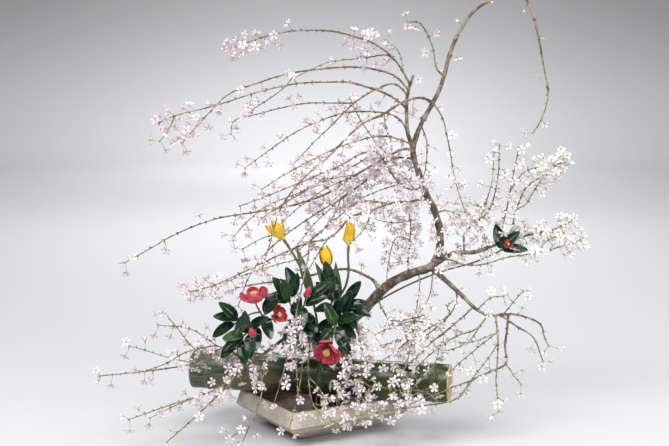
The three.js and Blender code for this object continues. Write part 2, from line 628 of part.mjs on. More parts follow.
const SPRAYS = {
  spray_top_left: [
    twig([2.8, 1.2], '-1-11--112232', [[410, 84, -10], [395, 60, -20], [376.5, 45, -30],
      [356, 37, -40], [330, 31, -48], [292.5, 31, -56], [266.6, 36, -60], [232, 48, -62]]),
    twig([1.8, 1], '-1-1-12', [[395, 60, -20], [387, 55, -10], [364, 58, 5], [330, 62, 15],
      [310, 70, 22], [294, 78, 28]]),
    twig([1.4, 1], '-11', [[403, 72, -15], [399, 52, -2], [385, 40, 8]]),
  ],
  spray_back_left: [
    twig([2.8, 1.2], '-1-11-1-11-1222', [[408, 90, -9], [395, 76, 6], [373, 69, 24],
      [352, 67, 40], [330, 68, 58], [287, 74, 85], [258, 83, 100], [229, 94, 112],
      [208, 114, 120], [182, 143, 128]]),
  ],
  spray_far_left: [
    twig([2.8, 1.2], '-11-1-11--1-1-12v', [[406.6, 108, -6], [388.5, 95, -40], [364, 86, -58],
      [347, 82, -70], [330, 82, -80], [297.6, 83.5, -98], [258, 92, -115], [223.6, 103, -128],
      [198, 110, -138], [180.5, 114, -144], [160, 122, -148]]),
    twig([1.4, 1], '12', [[176, 115, -146], [168, 130, -150], [160, 141, -152]]),
  ],
  spray_top: [
    twig([2.4, 1.2], '-1112', [[444, 76, 28], [437, 69, 24], [432.5, 46.5, 18], [419.5, 23, 8],
      [408, 22, 4]]),
  ],
  spray_long_front: [
    twig([3.4, 1.2], '-1--1-12--12-12-122', [[433, 104, 22], [423, 98, 0], [405, 101, -36],
      [381.7, 115, -70], [362, 124, -90], [329, 156, -115], [299, 183, -140], [280, 210, -160],
      [271, 240, -180], [262, 268, -190]]),
  ],
  spray_upper_left: [
    twig([2.4, 1.1], '-1-1211-21', [[408, 96, -8], [395, 84, 2], [373, 91, 15], [352, 105, 25],
      [330, 127, 35], [316.6, 139.5, 40], [292.5, 165, 48]]),
    twig([1.8, 1], '-1-1-1122', [[355, 103, 24], [330, 103, 40], [310, 103, 50],
      [285.6, 107, 60], [258, 114, 70], [234, 121, 78], [230.5, 134, 80]]),
  ],
  spray_mid_back: [
    twig([2.4, 1.1], '-11-1112-1-122', [[408, 132, 1], [400, 120, 12], [390, 114, 22],
      [350.7, 112, 50], [330, 117, 60], [297.6, 131, 74], [275, 146, 84], [245, 168, 94]]),
  ],
  spray_mid_front: [
    twig([2.4, 1.1], '-12-11-212-12', [[411, 145, 8], [404, 141, -8], [380.5, 136, -34],
      [339, 147, -70], [306, 163, -94], [284, 175, -108], [262, 189, -118]]),
  ],
  spray_long_left: [
    twig([3.4, 1.2], '-12-2112--1-1-1--1-12', [[412.5, 150, 10], [404, 149, 0], [385, 158, -10],
      [356, 175, -28], [330, 192, -44], [297.6, 204, -62], [256, 212, -80], [215, 219, -96],
      [174, 235, -108], [149.5, 249, -112], [125, 262.6, -116]]),
  ],
  spray_centre: [
    twig([2.6, 1.1], '-12122-12-1112122', [[414, 158, 10], [392, 159, 20], [364, 182, 30],
      [341, 199, 26], [322, 210, 14], [295, 228, -6], [270, 248.6, -24], [250, 275, -38],
      [238, 306, -48]]),
    twig([1.4, 1], '112', [[285, 237, -14], [268.8, 236, -4], [242.5, 249, 10]]),
  ],
  spray_heart: [
    twig([2.6, 1.1], '-2122-121-1221', [[424, 187, 6], [414, 190, -4], [400, 184, -14],
      [390, 171, -24], [376, 152, -42], [361, 154, -56], [341, 165, -74], [306, 180, -100],
      [272, 194, -118], [240, 206, -130]]),
    twig([1.6, 1], '-1-1122', [[338, 167, -76], [308, 188.5, -78], [266.6, 206, -94],
      [251, 218, -100], [234, 236, -104]]),
  ],
  spray_heart_back: [
    twig([2.2, 1.1], '-12122122', [[421, 186, 7], [407, 176, 26], [397, 164, 40],
      [385, 152, 52], [372, 137, 62], [356, 112, 74], [350, 98, 78]]),
  ],
  spray_dark_lateral: [
    twig([3.4, 1.2], '-122-2121-21-12--1222', [[429, 199, 5], [412, 201, -14], [388.5, 204, -38],
      [369.6, 211, -58], [349, 218, -80], [341, 228, -92], [328, 238.7, -108],
      [308.6, 242.5, -126], [292.5, 249, -138], [263, 262.6, -156], [241, 273, -166],
      [215, 285, -176], [190, 292, -180]]),
    twig([1.8, 1], '--1-1-112', [[308.6, 242.5, -126], [308.6, 253, -140], [302, 286, -158],
      [294, 329, -172], [296, 360, -180], [298, 395, -186]]),
    twig([1.6, 1], '12', [[371, 210, -57], [366, 226, -66], [354, 240, -76]]),
  ],
  spray_low_arc: [
    twig([2.4, 1.1], '-1-1-1-1-12', [[379, 293, 22], [374, 281, 40], [366, 276, 46],
      [356.7, 271.5, 46], [345, 269, 42], [320.6, 273, 32], [300, 278, 22], [257, 284, -4],
      [236, 288, -16]]),
  ],
  spray_upright: [
    twig([2.4, 1.2], '-2121', [[408, 276, 8], [408.4, 254, 14], [410.7, 228, 20],
      [408, 207, 24]]),
    twig([1.4, 1], '22', [[410, 222, 21], [395, 223, 30], [375, 219.5, 40]]),
    twig([1.4, 1], '121', [[410, 239, 18], [397, 237, 8], [388, 265, -8], [386.6, 281.5, -14]]),
  ],
  spray_inner_right: [
    twig([2, 1.1], '-112212', [[433, 104, 22], [442, 117, 16], [449, 146, 6], [454, 174, -4],
      [458.6, 193, -10], [465, 211, -16]]),
  ],
  spray_right_tall: [
    twig([2.4, 1.1], '-1121112', [[465, 252, 10], [465, 233, 0], [480, 220, -8],
      [490, 208.5, -14], [498, 176, -24], [499.4, 145, -30]]),
    twig([1.6, 1], '1211', [[480, 220, -8], [485, 205.5, 6], [492, 181, 14], [494, 152, 22]]),
    twig([1.6, 1], '12', [[467, 230, -2], [474, 221, 12], [478, 205, 20]]),
  ],
  spray_right_fan: [
    twig([2.2, 1.1], '-12112', [[504, 243, 33], [503.4, 224, 26], [507.5, 205.5, 20],
      [510.6, 189, 14], [518.7, 148, 4]]),
    twig([1.4, 1], '112', [[510, 192, 14], [518.7, 178, 0], [526, 171, -8], [542, 166, -14]]),
  ],
  spray_right_white: [
    twig([2.2, 1.1], '-121222', [[515, 239, 36], [513.6, 220, 48], [521, 197, 56],
      [527, 187, 60], [552, 170, 68], [566, 157, 72]]),
    twig([1.4, 1], '122', [[517, 210, 52], [526, 204, 40], [534, 191, 34], [543, 177, 28]]),
  ],
  spray_right_low: [
    twig([2.2, 1.1], '--1-12-12', [[442, 266, -6], [450.5, 261, -12], [466, 265, -18],
      [485, 264, -24], [504, 258, -32], [536, 253, -42], [566.6, 245, -52], [580, 240, -56]]),
    twig([1.3, 1], '12', [[536, 253, -42], [547, 241, -34], [564, 233, -28]]),
  ],
  spray_fall_inner: [
    twig([2.2, 1.1], '-122122', [[456, 290, -25], [457, 300, -40], [450.5, 313, -56],
      [426, 330, -84], [412, 338, -96], [398, 350, -104]]),
  ],
  spray_fall_middle: [
    twig([2.2, 1.1], '-212122', [[474, 307, -42], [457, 322, -70], [447, 330, -82],
      [432, 342, -98], [418, 356, -112], [402, 370, -122]]),
  ],
  spray_fall_front: [
    twig([2.2, 1.1], '-1212122', [[488, 315.5, -54], [476, 329, -84], [457, 336, -104],
      [440, 347, -120], [424, 360, -134], [404, 382, -148]]),
    twig([1.6, 1], '1212', [[480, 325, -76], [471, 339, -70], [456, 348, -62],
      [442, 352, -58]]),
  ],
  spray_fall_right: [
    twig([2.2, 1.1], '-11-121', [[496, 317, -60], [498, 342, -90], [497, 366, -104],
      [496, 380, -110], [499, 411, -116]]),
    twig([1.6, 1], '12212', [[497, 332, -80], [478, 347.5, -104], [456, 366, -132],
      [436, 386, -154]]),
    twig([1.4, 1], '121', [[498.5, 344, -91], [490, 356, -84], [468, 384, -72]]),
  ],
  spray_low_right: [
    twig([3, 1.2], '-1-1-1-1-12-1-121', [[508, 314.5, -66], [507, 330, -54], [505, 346, -48],
      [506, 363, -60], [490, 371.6, -90], [473, 380, -120], [455.7, 399, -160],
      [421, 406, -185], [389, 410, -200], [370, 413, -208], [332, 422, -222]]),
    twig([1.3, 1], '11', [[506, 363, -60], [513, 374, -56], [521, 384.5, -52]]),
    twig([1.4, 1], '122', [[440, 403, -172], [425, 392, -176], [395, 390, -180]]),
  ],
  spray_low_left_back: [
    twig([2.6, 1.1], '-12-212-12-12', [[262, 355, -105], [250, 352, -88], [235, 349, -66],
      [217, 350, -52], [194, 363, -60], [163, 369, -75], [129, 373, -85], [99.6, 376, -92]]),
    twig([1.5, 1], '1-12', [[194, 363, -60], [170, 358, -50], [144, 350, -44],
      [129, 346, -40]]),
    twig([1.5, 1], '122', [[208, 355, -55], [196, 350, -64], [174, 324, -74],
      [163, 311, -78]]),
  ],
  spray_low_left: [
    twig([2.2, 1.1], '-22122-12', [[250, 364, -114], [232, 352, -104], [217, 346, -98],
      [204.6, 347.5, -100], [184, 353, -106], [167, 363, -112], [144, 371.6, -118]]),
    twig([1.4, 1], '1212', [[217, 346, -98], [200, 334, -92], [189, 328.5, -90],
      [158, 325, -86]]),
  ],
  spray_front_left: [
    twig([2, 1.1], '-21212', [[228, 382, -133], [212, 391, -150], [198, 396.6, -160],
      [177, 402.6, -172], [153, 411, -182], [129, 419.5, -190]]),
    twig([1.4, 1], '11', [[190, 399, -166], [170, 408, -154], [150, 418, -156]]),
  ],
  spray_front_tip: [
    twig([2, 1.1], '--12-1-', [[234, 376, -128], [228, 386, -160], [220, 393, -178],
      [208, 405, -198], [184, 427, -214], [167, 442, -222]]),
  ],
};

function planCherry(owner, twigs) {
  const stations = [];
  for (const part of twigs) {
    part.stations = route(part.stops, part.growth.length);
    if (stations.length) part.stations[0] = nearest(stations, part.stations[0]);
    stations.push(...part.stations);
    if (owner !== 'cherry_limb' && part === twigs[0]) startClear(part);
    claimRoute(owner, part.stations, part.radii);
  }
}

function nearest(points, target) {
  return points.reduce((best, point) => (
    point.distanceTo(target) < best.distanceTo(target) ? point : best)).clone();
}

// A spray's root stands just clear of the branch that it grows from.
function startClear(part) {
  const [root, next] = part.stations;
  const branches = claims.filter(({ owner }) => owner === 'cherry_limb' || owner === 'low_branch');
  const isClear = (point) => branches.every((taken) => (
    taken.centre.distanceTo(point) > taken.radius + part.radii[0] + GAP));
  let step = 0;
  while (step < 0.9 && !isClear(root.clone().lerp(next, step))) step += 0.02;
  part.stations[0] = root.clone().lerp(next, step);
}

function cherry(owner, twigs) {
  const solids = twigs.map((part) => stem(part.stations, part.radii, part.sides));
  let turn = owner.length;
  for (const part of twigs) turn = grow(owner, part, solids, turn);
  return joined(solids);
}

// ---------------------------------------------------------------- camellias

const CAMELLIA = {
  leafLength: 56,
  leafHalf: 12.5,
  leafThick: 1.5,
  leafArch: 8,
  petiole: 1.3,
  stemRadii: [2.6, 1.8],
  shootRadii: [1.9, 1.5],
  neck: 9,                             // straight end of the stem under its bloom
  bloom: 33,                           // radius of an open bloom
};

// Each stem has its stops, its side shoots, its leaves as pairs of stops from the blade's base
// to its tip, its bloom and its bud.
const CAMELLIA_STEMS = {
  camellia_left: {
    steps: 10,
    stops: [foot(-4, 28), [319, 345, 28], [312, 330, 4], [298, 322, -34], [280, 320, -72],
      [264, 317, -96]],
    shoots: [
      [[266, 318, -98], [256, 326, -110], [246, 334, -118], [238, 340, -122]],
      [[262, 314, -102], [250, 314, -108], [240, 320, -106], [234, 324, -104]],
    ],
    leaves: [
      [[266, 314, -100], [277, 292, -94]],
      [[263, 316, -104], [270, 336, -124]],
      [[251, 316, -110], [239, 329, -136]],
      [[257, 326, -112], [256, 348, -138]],
      [[246, 335, -120], [230, 346, -130]],
      [[241, 319, -107], [217, 317, -116]],
      [[234, 325, -104], [214, 336, -106]],
      [[238, 341, -123], [222, 357, -134]],
      [[250, 332, -117], [250, 359, -148]],
    ],
    bloom: { base: [255.5, 302, -116], face: [252, 291, -140], size: 1 },
    bud: { base: [254, 337, -139], face: [250, 328, -153] },
  },
  camellia_middle: {
    steps: 9,
    stops: [foot(9, 26), [325, 340, 24], [320, 326, 0], [308, 322, -40], [298, 320, -70],
      [284, 320, -82]],
    shoots: [
      [[294, 320, -74], [292, 308, -82], [289, 300, -88]],
      [[300, 320, -66], [303, 309, -76], [305, 301, -82]],
    ],
    leaves: [
      [[300, 321, -72], [308, 342, -96]],
      [[289, 301, -90], [281, 279, -104]],
      [[288, 303, -86], [273, 277, -88]],
      [[291, 303, -84], [298, 273, -88]],
      [[304, 307, -77], [321, 299, -90]],
    ],
    bloom: { base: [275.5, 315, -106], face: [288, 313, -134], size: 0.68 },
    bud: { base: [306, 298, -84], face: [310, 286, -92] },
  },
  camellia_front: {
    steps: 9,
    stops: [foot(22, 24), [332, 338, 22], [336, 322, 0], [337, 322, -50], [333, 336, -78]],
    shoots: [
      [[337, 321, -20], [335, 309, -24], [333, 295, -30]],
      [[337, 321, -38], [341, 313, -33], [344, 306, -27]],
    ],
    leaves: [
      [[332, 301, -28], [318, 285, -30]],
      [[333, 294, -31], [321, 272, -44]],
      [[345, 305, -27], [361, 281, -32]],
      [[344, 308, -28], [369, 303, -38]],
      [[341, 313, -34], [351, 291, -46]],
      [[336, 326, -60], [326, 306, -64]],
    ],
    bloom: { base: [329, 348, -96], face: [325, 356, -124], size: 1 },
  },
  camellia_right: {
    steps: 11,
    stops: [foot(26, 70), [343, 335, 72], [356, 322, 70], [376, 303, 64], [404, 287, 56],
      [440, 272, 50], [475, 262, 40], [498, 252, 22]],
    shoots: [],
    leaves: [
      [[500, 251, 21], [496, 226, 24]],
      [[504, 252, 12], [528, 250, 2]],
    ],
    bloom: { base: [507.5, 245.5, 5], face: [511, 241, -14], size: 0.36 },
  },
};

// A pointed oval leaf, folded along its rib and arched, on a stalk that reaches back to its root.
function camelliaLeaf(root, target) {
  const { leafLength, leafHalf, leafThick, leafArch, petiole } = CAMELLIA;
  const along = direction(root, target);
  const reach = Math.max(root.distanceTo(target), leafLength + 3 * petiole);
  const up = squareTo(along, new THREE.Vector3(0, -0.75, 0.65));
  const side = new THREE.Vector3().crossVectors(along, up);
  const at = (distance) => root.clone().addScaledVector(along, distance);
  const stalk = [petiole, reach - leafLength].map((distance) => ({
    centre: at(distance), half: petiole, thick: 2 * petiole, side, up,
  }));
  const rows = [[0.34, 1], [0.7, 0.84]].map(([part, width]) => ({
    centre: at(reach - leafLength * (1 - part)).addScaledVector(up, leafArch * (1 - part)),
    half: leafHalf * width,
    thick: leafThick,
    lift: leafHalf * width * 0.25,
    side,
    up,
  }));
  return blade(at(-petiole), [...stalk, ...rows], at(reach));
}

// Points along the line of stations, short of its end, that stalks may grow from.
function rootsAlong(stations) {
  return stations.slice(1).flatMap((to, i) => (
    [0, 0.25, 0.5, 0.75].map((part) => stations[i].clone().lerp(to, part))));
}

// The stem ends just under its bloom, in line with it.
function planCamellia(owner, plan) {
  const base = seen(plan.bloom.base);
  const axis = direction(base, seen(plan.bloom.face));
  const end = base.clone().addScaledVector(axis, -3 * plan.bloom.size - 3 * GAP);
  const neck = end.clone().addScaledVector(axis, -CAMELLIA.neck);
  plan.stations = [...route([...plan.stops, neck], plan.steps), end];
  claimRoute(owner, plan.stations, CAMELLIA.stemRadii);
  const stemRoots = rootsAlong(plan.stations);
  plan.shootStations = plan.shoots.map((stops) => {
    const stations = route(stops, stops.length - 1);
    stations[0] = nearest(stemRoots, stations[0]);
    claimRoute(owner, stations, CAMELLIA.shootRadii);
    return stations;
  });
  plan.roots = [...stemRoots, ...plan.shootStations.flatMap(rootsAlong)];
  for (const [stalk, tip] of plan.leaves) claimLine(owner, seen(stalk), seen(tip), 8);
  const centre = base.clone().addScaledVector(axis, 14 * plan.bloom.size);
  claim(owner, centre, CAMELLIA.bloom * plan.bloom.size * 1.05);
  if (plan.bud) claimLine(owner, seen(plan.bud.base), seen(plan.bud.face), 9);
}

function camelliaStem(plan) {
  const solids = [stem(plan.stations, CAMELLIA.stemRadii, 4)];
  for (const stations of plan.shootStations) solids.push(stem(stations, CAMELLIA.shootRadii, 3));
  for (const [stalk, tip] of plan.leaves) {
    solids.push(camelliaLeaf(nearest(plan.roots, seen(stalk)), seen(tip)));
  }
  if (plan.bud) {
    const base = seen(plan.bud.base);
    const end = base.clone().addScaledVector(direction(base, seen(plan.bud.face)), -GAP);
    const root = nearest(plan.roots, end);
    solids.push(stem([root, end], [CAMELLIA.petiole * 1.3, CAMELLIA.petiole], 3));
  }
  return joined(solids);
}

// A point near a flower's axis: so far out at an angle, and so far up.
function aboutAxis(base, axis, angle, out, up) {
  const side = squareTo(axis, UP).applyAxisAngle(axis, angle);
  return base.clone().addScaledVector(side, out).addScaledVector(axis, up);
}

function disc(base, axis, sides, radius, up) {
  return Array.from({ length: sides }, (_, k) => (
    aboutAxis(base, axis, 2 * Math.PI * k / sides, radius, up)));
}

// One petal, from the heart of the flower along a profile of [out, up, half width, lift].
function petal(base, axis, angle, profile, size) {
  const places = profile.map(([out, up]) => aboutAxis(base, axis, angle, out * size, up * size));
  const rows = profile.slice(1, -1).map(([, , half, lift], i) => {
    const along = heading(places, i + 1);
    const side = new THREE.Vector3()
      .crossVectors(axis, aboutAxis(new THREE.Vector3(), axis, angle, 1, 0));
    const up = new THREE.Vector3().crossVectors(side, along).normalize();
    return { centre: places[i + 1], half: half * size, lift: lift * size, thick: 1.5, side, up };
  });
  return blade(places[0], rows, places.at(-1));
}

const CAMELLIA_OUTER = [[3, 1], [13, 2, 8, 1.5], [27, 10, 16, 4], [31, 24]];
const CAMELLIA_INNER = [[3, 3], [10, 6, 6, 1.5], [22, 15, 14, 4], [24, 28]];

function camelliaPetals({ base, face, size }) {
  const root = seen(base);
  const axis = direction(root, seen(face));
  const heart = [-3, 2, 5.5].map((up, i) => disc(root, axis, 6, [2, 5, 4][i] * size, up * size));
  const solids = [loft(heart)];
  for (let k = 0; k < 3; k++) {
    const angle = k * 2 * Math.PI / 3;
    solids.push(petal(root, axis, angle, CAMELLIA_OUTER, size));
    if (size > 0.5) solids.push(petal(root, axis, angle + Math.PI / 3, CAMELLIA_INNER, size));
  }
  return joined(solids);
}

// The stamens are grown together into a column that opens into a brush.
function camelliaStamens({ base, face, size }) {
  const root = seen(base);
  const axis = direction(root, seen(face));
  const brush = Array.from({ length: 12 }, (_, k) => aboutAxis(
    root, axis, k * Math.PI / 6, (k % 2 ? 7.6 : 5.4) * size, (k % 2 ? 20 : 22) * size));
  const low = disc(root, axis, 12, 3.6 * size, 5.5 * size + GAP);
  const neck = disc(root, axis, 12, 4.2 * size, 14 * size);
  return loft([low, neck, brush]);
}

function camelliaBud({ base, face }) {
  const root = seen(base);
  const axis = direction(root, seen(face));
  const length = root.distanceTo(seen(face));
  const rings = [[0.12, 4], [0.45, 7.5], [0.8, 5]].map(([part, radius]) => (
    disc(root, axis, 7, radius, length * part)));
  return loft(rings, middleOf(rings[0]), aboutAxis(root, axis, 0, 0, length));
}

// ---------------------------------------------------------------- tulips

const TULIP = { stemRadii: [3, 2.6], length: 50 };
const TULIP_OUTER = [[4, 3], [10.5, 11, 8.5, 3.5], [12, 32, 9.5, 4.5], [4, 50]];
const TULIP_INNER = [[3, 5], [6.5, 12, 4.5, 1.5], [8.5, 32, 7.5, 2.5], [2.5, 48]];
const TULIP_OPEN = [[4, 3], [12, 10, 8, 3.5], [19, 28, 9, 3], [26, 45]];

const TULIPS = {
  tulip_tall: {
    steps: 8,
    stops: [foot(18, 62), [330, 325, 50], [337.6, 300.6, 24], [346, 285, 2], [348.7, 270, -14],
      [348, 257, -24], [348.6, 246, -28]],
    leaf: [[341, 295, 16], [335.5, 261.5, -2]],
    face: [350.5, 221, -32],
    outer: TULIP_OUTER,
  },
  tulip_middle: {
    steps: 8,
    stops: [foot(6, 54), [325, 330, 46], [332, 300, 24], [332, 280, 2], [328.5, 269, -14]],
    leaf: [[331, 296, 20], [315, 262, 6]],
    face: [323, 244, -24],
    outer: TULIP_OUTER,
  },
  tulip_left: {
    steps: 8,
    stops: [foot(-6, 46), [318, 330, 42], [312, 298, 18], [304, 275, -8], [295.5, 258, -26],
      [290, 249, -34], [284, 240, -40]],
    leaf: [[309, 288, 8], [296, 246, -12]],
    face: [270, 220, -50],
    outer: TULIP_OPEN,
  },
};

function planTulip(owner, plan) {
  plan.stations = route(plan.stops, plan.steps);
  plan.base = plan.stations.at(-1);
  plan.axis = direction(plan.base, seen(plan.face));
  claimRoute(owner, plan.stations, TULIP.stemRadii);
  const top = plan.base.clone().addScaledVector(plan.axis, TULIP.length);
  claimLine(owner, plan.base, top, plan.outer === TULIP_OPEN ? 19 : 13);
  claimLine(owner, seen(plan.leaf[0]), seen(plan.leaf[1]), 7);
}

function tulipStem(plan) {
  const [low, high] = plan.leaf.map(seen);
  const root = nearest(plan.stations, low);
  const along = direction(root, high);
  const length = root.distanceTo(high);
  const up = squareTo(along, new THREE.Vector3(0.2, -1, 0.2));
  const side = new THREE.Vector3().crossVectors(along, up);
  const rows = [[0.1, 3.5], [0.4, 8], [0.75, 5.5]].map(([part, half]) => ({
    centre: root.clone().addScaledVector(along, length * part)
      .addScaledVector(up, 20 * part * (1 - part)),
    thick: 1.6,
    lift: half * 0.35,
    half,
    side,
    up,
  }));
  return stem(plan.stations, TULIP.stemRadii, 6).add(blade(root, rows, high));
}

function tulipPetals(plan) {
  const base = plan.base.clone().addScaledVector(plan.axis, 1 + GAP);
  const heart = [0, 4, 9].map((up, i) => disc(base, plan.axis, 6, [2.5, 6.5, 4.5][i], up));
  const solids = [loft(heart)];
  for (let k = 0; k < 3; k++) {
    const angle = k * 2 * Math.PI / 3;
    solids.push(petal(base, plan.axis, angle, plan.outer, 1));
    solids.push(petal(base, plan.axis, angle + Math.PI / 3, TULIP_INNER, 1));
  }
  return joined(solids);
}

// ---------------------------------------------------------------- the arrangement

claimBamboo();
planCherry('cherry_limb', LIMB);
planCherry('low_branch', LOW_BRANCH);
for (const [name, plan] of Object.entries(CAMELLIA_STEMS)) planCamellia(name, plan);
for (const [name, plan] of Object.entries(TULIPS)) planTulip(name, plan);
for (const [name, twigs] of Object.entries(SPRAYS)) planCherry(name, twigs);

const standing = [
  [LIMB[0].stations, LIMB[0].radii, LIMB[0].sides],
  [LOW_BRANCH[0].stations, LOW_BRANCH[0].radii, LOW_BRANCH[0].sides],
  ...Object.values(CAMELLIA_STEMS).map((plan) => [plan.stations, CAMELLIA.stemRadii, 4]),
  ...Object.values(TULIPS).map((plan) => [plan.stations, TULIP.stemRadii, 6]),
];

finish('bowl', bowl(), COLOUR.glaze);
finish('water', water(standing), COLOUR.water);
finish('kenzan', needleHolder(standing.map(([stations, radii]) => [stations[0], radii[0]])),
  COLOUR.lead, 0.6);
finish('bamboo', bamboo(), COLOUR.bamboo);
finish('cherry_limb', cherry('cherry_limb', LIMB), COLOUR.bark);
finish('low_branch', cherry('low_branch', LOW_BRANCH), COLOUR.spray);
for (const [name, plan] of Object.entries(CAMELLIA_STEMS)) {
  finish(`${name}_stem`, camelliaStem(plan), COLOUR.camelliaLeaf);
  finish(`${name}_petals`, camelliaPetals(plan.bloom), COLOUR.camelliaPetal);
  finish(`${name}_stamens`, camelliaStamens(plan.bloom), COLOUR.stamen);
  if (plan.bud) finish(`${name}_bud`, camelliaBud(plan.bud), COLOUR.camelliaPetal);
}
for (const [name, plan] of Object.entries(TULIPS)) {
  finish(`${name}_stem`, tulipStem(plan), COLOUR.tulipLeaf);
  finish(`${name}_petals`, tulipPetals(plan), COLOUR.tulip);
}
for (const [name, twigs] of Object.entries(SPRAYS)) {
  finish(name, cherry(name, twigs), COLOUR.spray);
}

export default arrangement;
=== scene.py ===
# Ikebana arrangement: a weeping cherry limb, camellias and tulips in a low stoneware bowl,
# with a length of green bamboo laid across its rim. Sizes are in millimetres, as on the
# real pieces, and every mesh is made in metres.

import math

import bpy
import numpy as np
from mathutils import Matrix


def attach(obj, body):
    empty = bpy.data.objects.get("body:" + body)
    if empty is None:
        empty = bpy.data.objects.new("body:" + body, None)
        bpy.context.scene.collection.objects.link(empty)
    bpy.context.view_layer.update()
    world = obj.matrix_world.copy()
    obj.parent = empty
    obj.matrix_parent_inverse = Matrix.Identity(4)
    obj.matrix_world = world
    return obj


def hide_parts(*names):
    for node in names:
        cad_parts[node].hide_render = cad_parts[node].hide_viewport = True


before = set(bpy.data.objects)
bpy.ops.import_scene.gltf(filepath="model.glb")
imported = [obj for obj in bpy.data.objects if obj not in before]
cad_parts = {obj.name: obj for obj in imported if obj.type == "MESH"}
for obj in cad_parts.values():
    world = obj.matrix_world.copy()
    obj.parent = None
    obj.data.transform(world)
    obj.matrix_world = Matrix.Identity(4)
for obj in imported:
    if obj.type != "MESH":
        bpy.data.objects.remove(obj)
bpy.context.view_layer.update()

# ------------------------------------------------------------------ the front of the arrangement
# It is made to be seen from the front and a little from above. Stems are bent in that
# view: a stop (across, down, depth) is a point of the picture and its depth in mm.

MM = 0.001
PICTURE = (669, 446)
FOCUS = np.array([31.0, 0.0, 458.0])
DISTANCE = 3190.0
TILT = math.radians(8.5)
FOCAL_PIXELS = 1450.0
SENSOR = 36.0
SIGHT_METRES = 20.0
FORWARD = np.array([0.0, math.cos(TILT), -math.sin(TILT)])
UPWARD = np.array([0.0, math.sin(TILT), math.cos(TILT)])
EYE = FOCUS - FORWARD * DISTANCE


def stand(name, data):
    """Puts a new object in the scene."""
    made = bpy.data.objects.new(name, data)
    bpy.context.scene.collection.objects.link(made)
    return made


camera = stand("front_view", bpy.data.cameras.new("front_view"))
camera.data.sensor_width = SENSOR
camera.data.lens = SENSOR * FOCAL_PIXELS / PICTURE[0]
camera.data.clip_end = SIGHT_METRES
camera.location = EYE * MM
camera.rotation_euler = (math.pi / 2 - TILT, 0.0, 0.0)
bpy.context.scene.camera = camera


def seen(stop):
    """The point in space of a stop of the front view."""
    across, down, depth = stop
    ray = FORWARD * FOCAL_PIXELS + UPWARD * (PICTURE[1] / 2 - down)
    ray[0] += across - PICTURE[0] / 2
    return EYE + ray * ((depth - EYE[1]) / ray[1])


# ------------------------------------------------------------------ bowl
# A low rectangular bowl of stoneware, built from slabs and turned a little to the right. It is
# widest at a sharp crease half way up. The outside has a pale crackled glaze, the inside a brown.

BOWL_TURN = math.radians(31)
BOWL_BASE, BOWL_CREASE, BOWL_RIM = (93.0, 75.0), (150.0, 132.0), (141.0, 123.0)
CREASE_HEIGHT, BOWL_HEIGHT = 42.0, 75.0
BOWL_WALL, BOWL_FLOOR, BOWL_CORNER = 9.0, 12.0, 10.0
GLAZE_PALE, GLAZE_WARM, GLAZE_GREY = (0.64, 0.57, 0.475), (0.40, 0.31, 0.22), (0.50, 0.455, 0.39)
GLAZE_CRACK_AND_SHADE, GLAZE_BROWN = (0.15, 0.10, 0.07), (0.40, 0.235, 0.16)
GLAZE_RUST = (0.76, 0.4465, 0.304)
CORNER_STEPS, SIDE_STEPS = 6, 14


def faces_between(rows, sides):
    """The faces between the closed rings of a skin."""
    return [(row * sides + side, row * sides + after, (row + 1) * sides + after,
             (row + 1) * sides + side)
            for row in range(rows - 1) for side, after in enumerate([*range(1, sides), 0])]


class Shape:
    """The points and faces of a piece. Each point has a mark of three numbers for its paint."""

    def __init__(self):
        self.points, self.marks, self.faces, self.paints = [], [], [], []
        self.count = 0

    def add(self, points, faces, marks, paints):
        self.points.append(points)
        self.marks.append(marks)
        self.faces.extend(tuple(i + self.count for i in face) for face in faces)
        self.paints.extend(paints)
        self.count += len(points)

    def skin(self, rings, marks, paint=0, last=None):
        """A skin over closed rings, capped flat or with a last point. Marks: one, or one a ring."""
        rings = np.asarray(rings, float)
        rows, sides = rings.shape[:2]
        marks = np.asarray(marks, float)
        marks = np.broadcast_to(marks[:, None] if marks.ndim == 2 else marks, rings.shape)
        ends = [rings[0].mean(0), rings[-1].mean(0) if last is None else last]
        faces = faces_between(rows, sides)
        top = (rows - 1) * sides
        for side, after in enumerate([*range(1, sides), 0]):
            faces.append((rows * sides, after, side))
            faces.append((rows * sides + 1, top + side, top + after))
        points = np.concatenate([rings.reshape(-1, 3), ends])
        marks = np.concatenate([marks.reshape(-1, 3), marks[[0, -1], 0]])
        self.add(points, faces, marks, [paint] * len(faces))

    def sheet(self, rows, away, thick, marks, paint=0, back_paint=None):
        """A thin closed sheet: its face is a grid of points, its back lies away from that."""
        rows = np.asarray(rows, float)
        count, wide = rows.shape[:2]
        points = np.concatenate([rows.reshape(-1, 3), (rows - away * thick).reshape(-1, 3)])
        marks = np.asarray(marks, float).reshape(-1, 3)
        back = count * wide
        faces = []
        for row in range(count - 1):
            for k in range(wide - 1):
                a, b = row * wide + k, row * wide + k + 1
                faces.append((a, b, b + wide, a + wide))
                faces.append((back + a, back + a + wide, back + b + wide, back + b))
        grid = np.arange(back).reshape(count, wide)
        edge = [*grid[0], *grid[1:, -1], *grid[-1, -2::-1], *grid[-2:0:-1, 0]]
        for here, after in zip(edge, edge[1:] + edge[:1]):
            faces.append((here, back + here, back + after, after))
        across = rows[count // 2, -1] - rows[count // 2, 0]
        up_face = rows[-1, wide // 2] - rows[0, wide // 2]
        if np.dot(np.cross(across, up_face), away) < 0:
            faces = [face[::-1] for face in faces]
        back_paint = paint if back_paint is None else back_paint
        paints = [paint, back_paint] * ((count - 1) * (wide - 1)) + [back_paint] * len(edge)
        self.add(points, faces, np.concatenate([marks, marks]), paints)


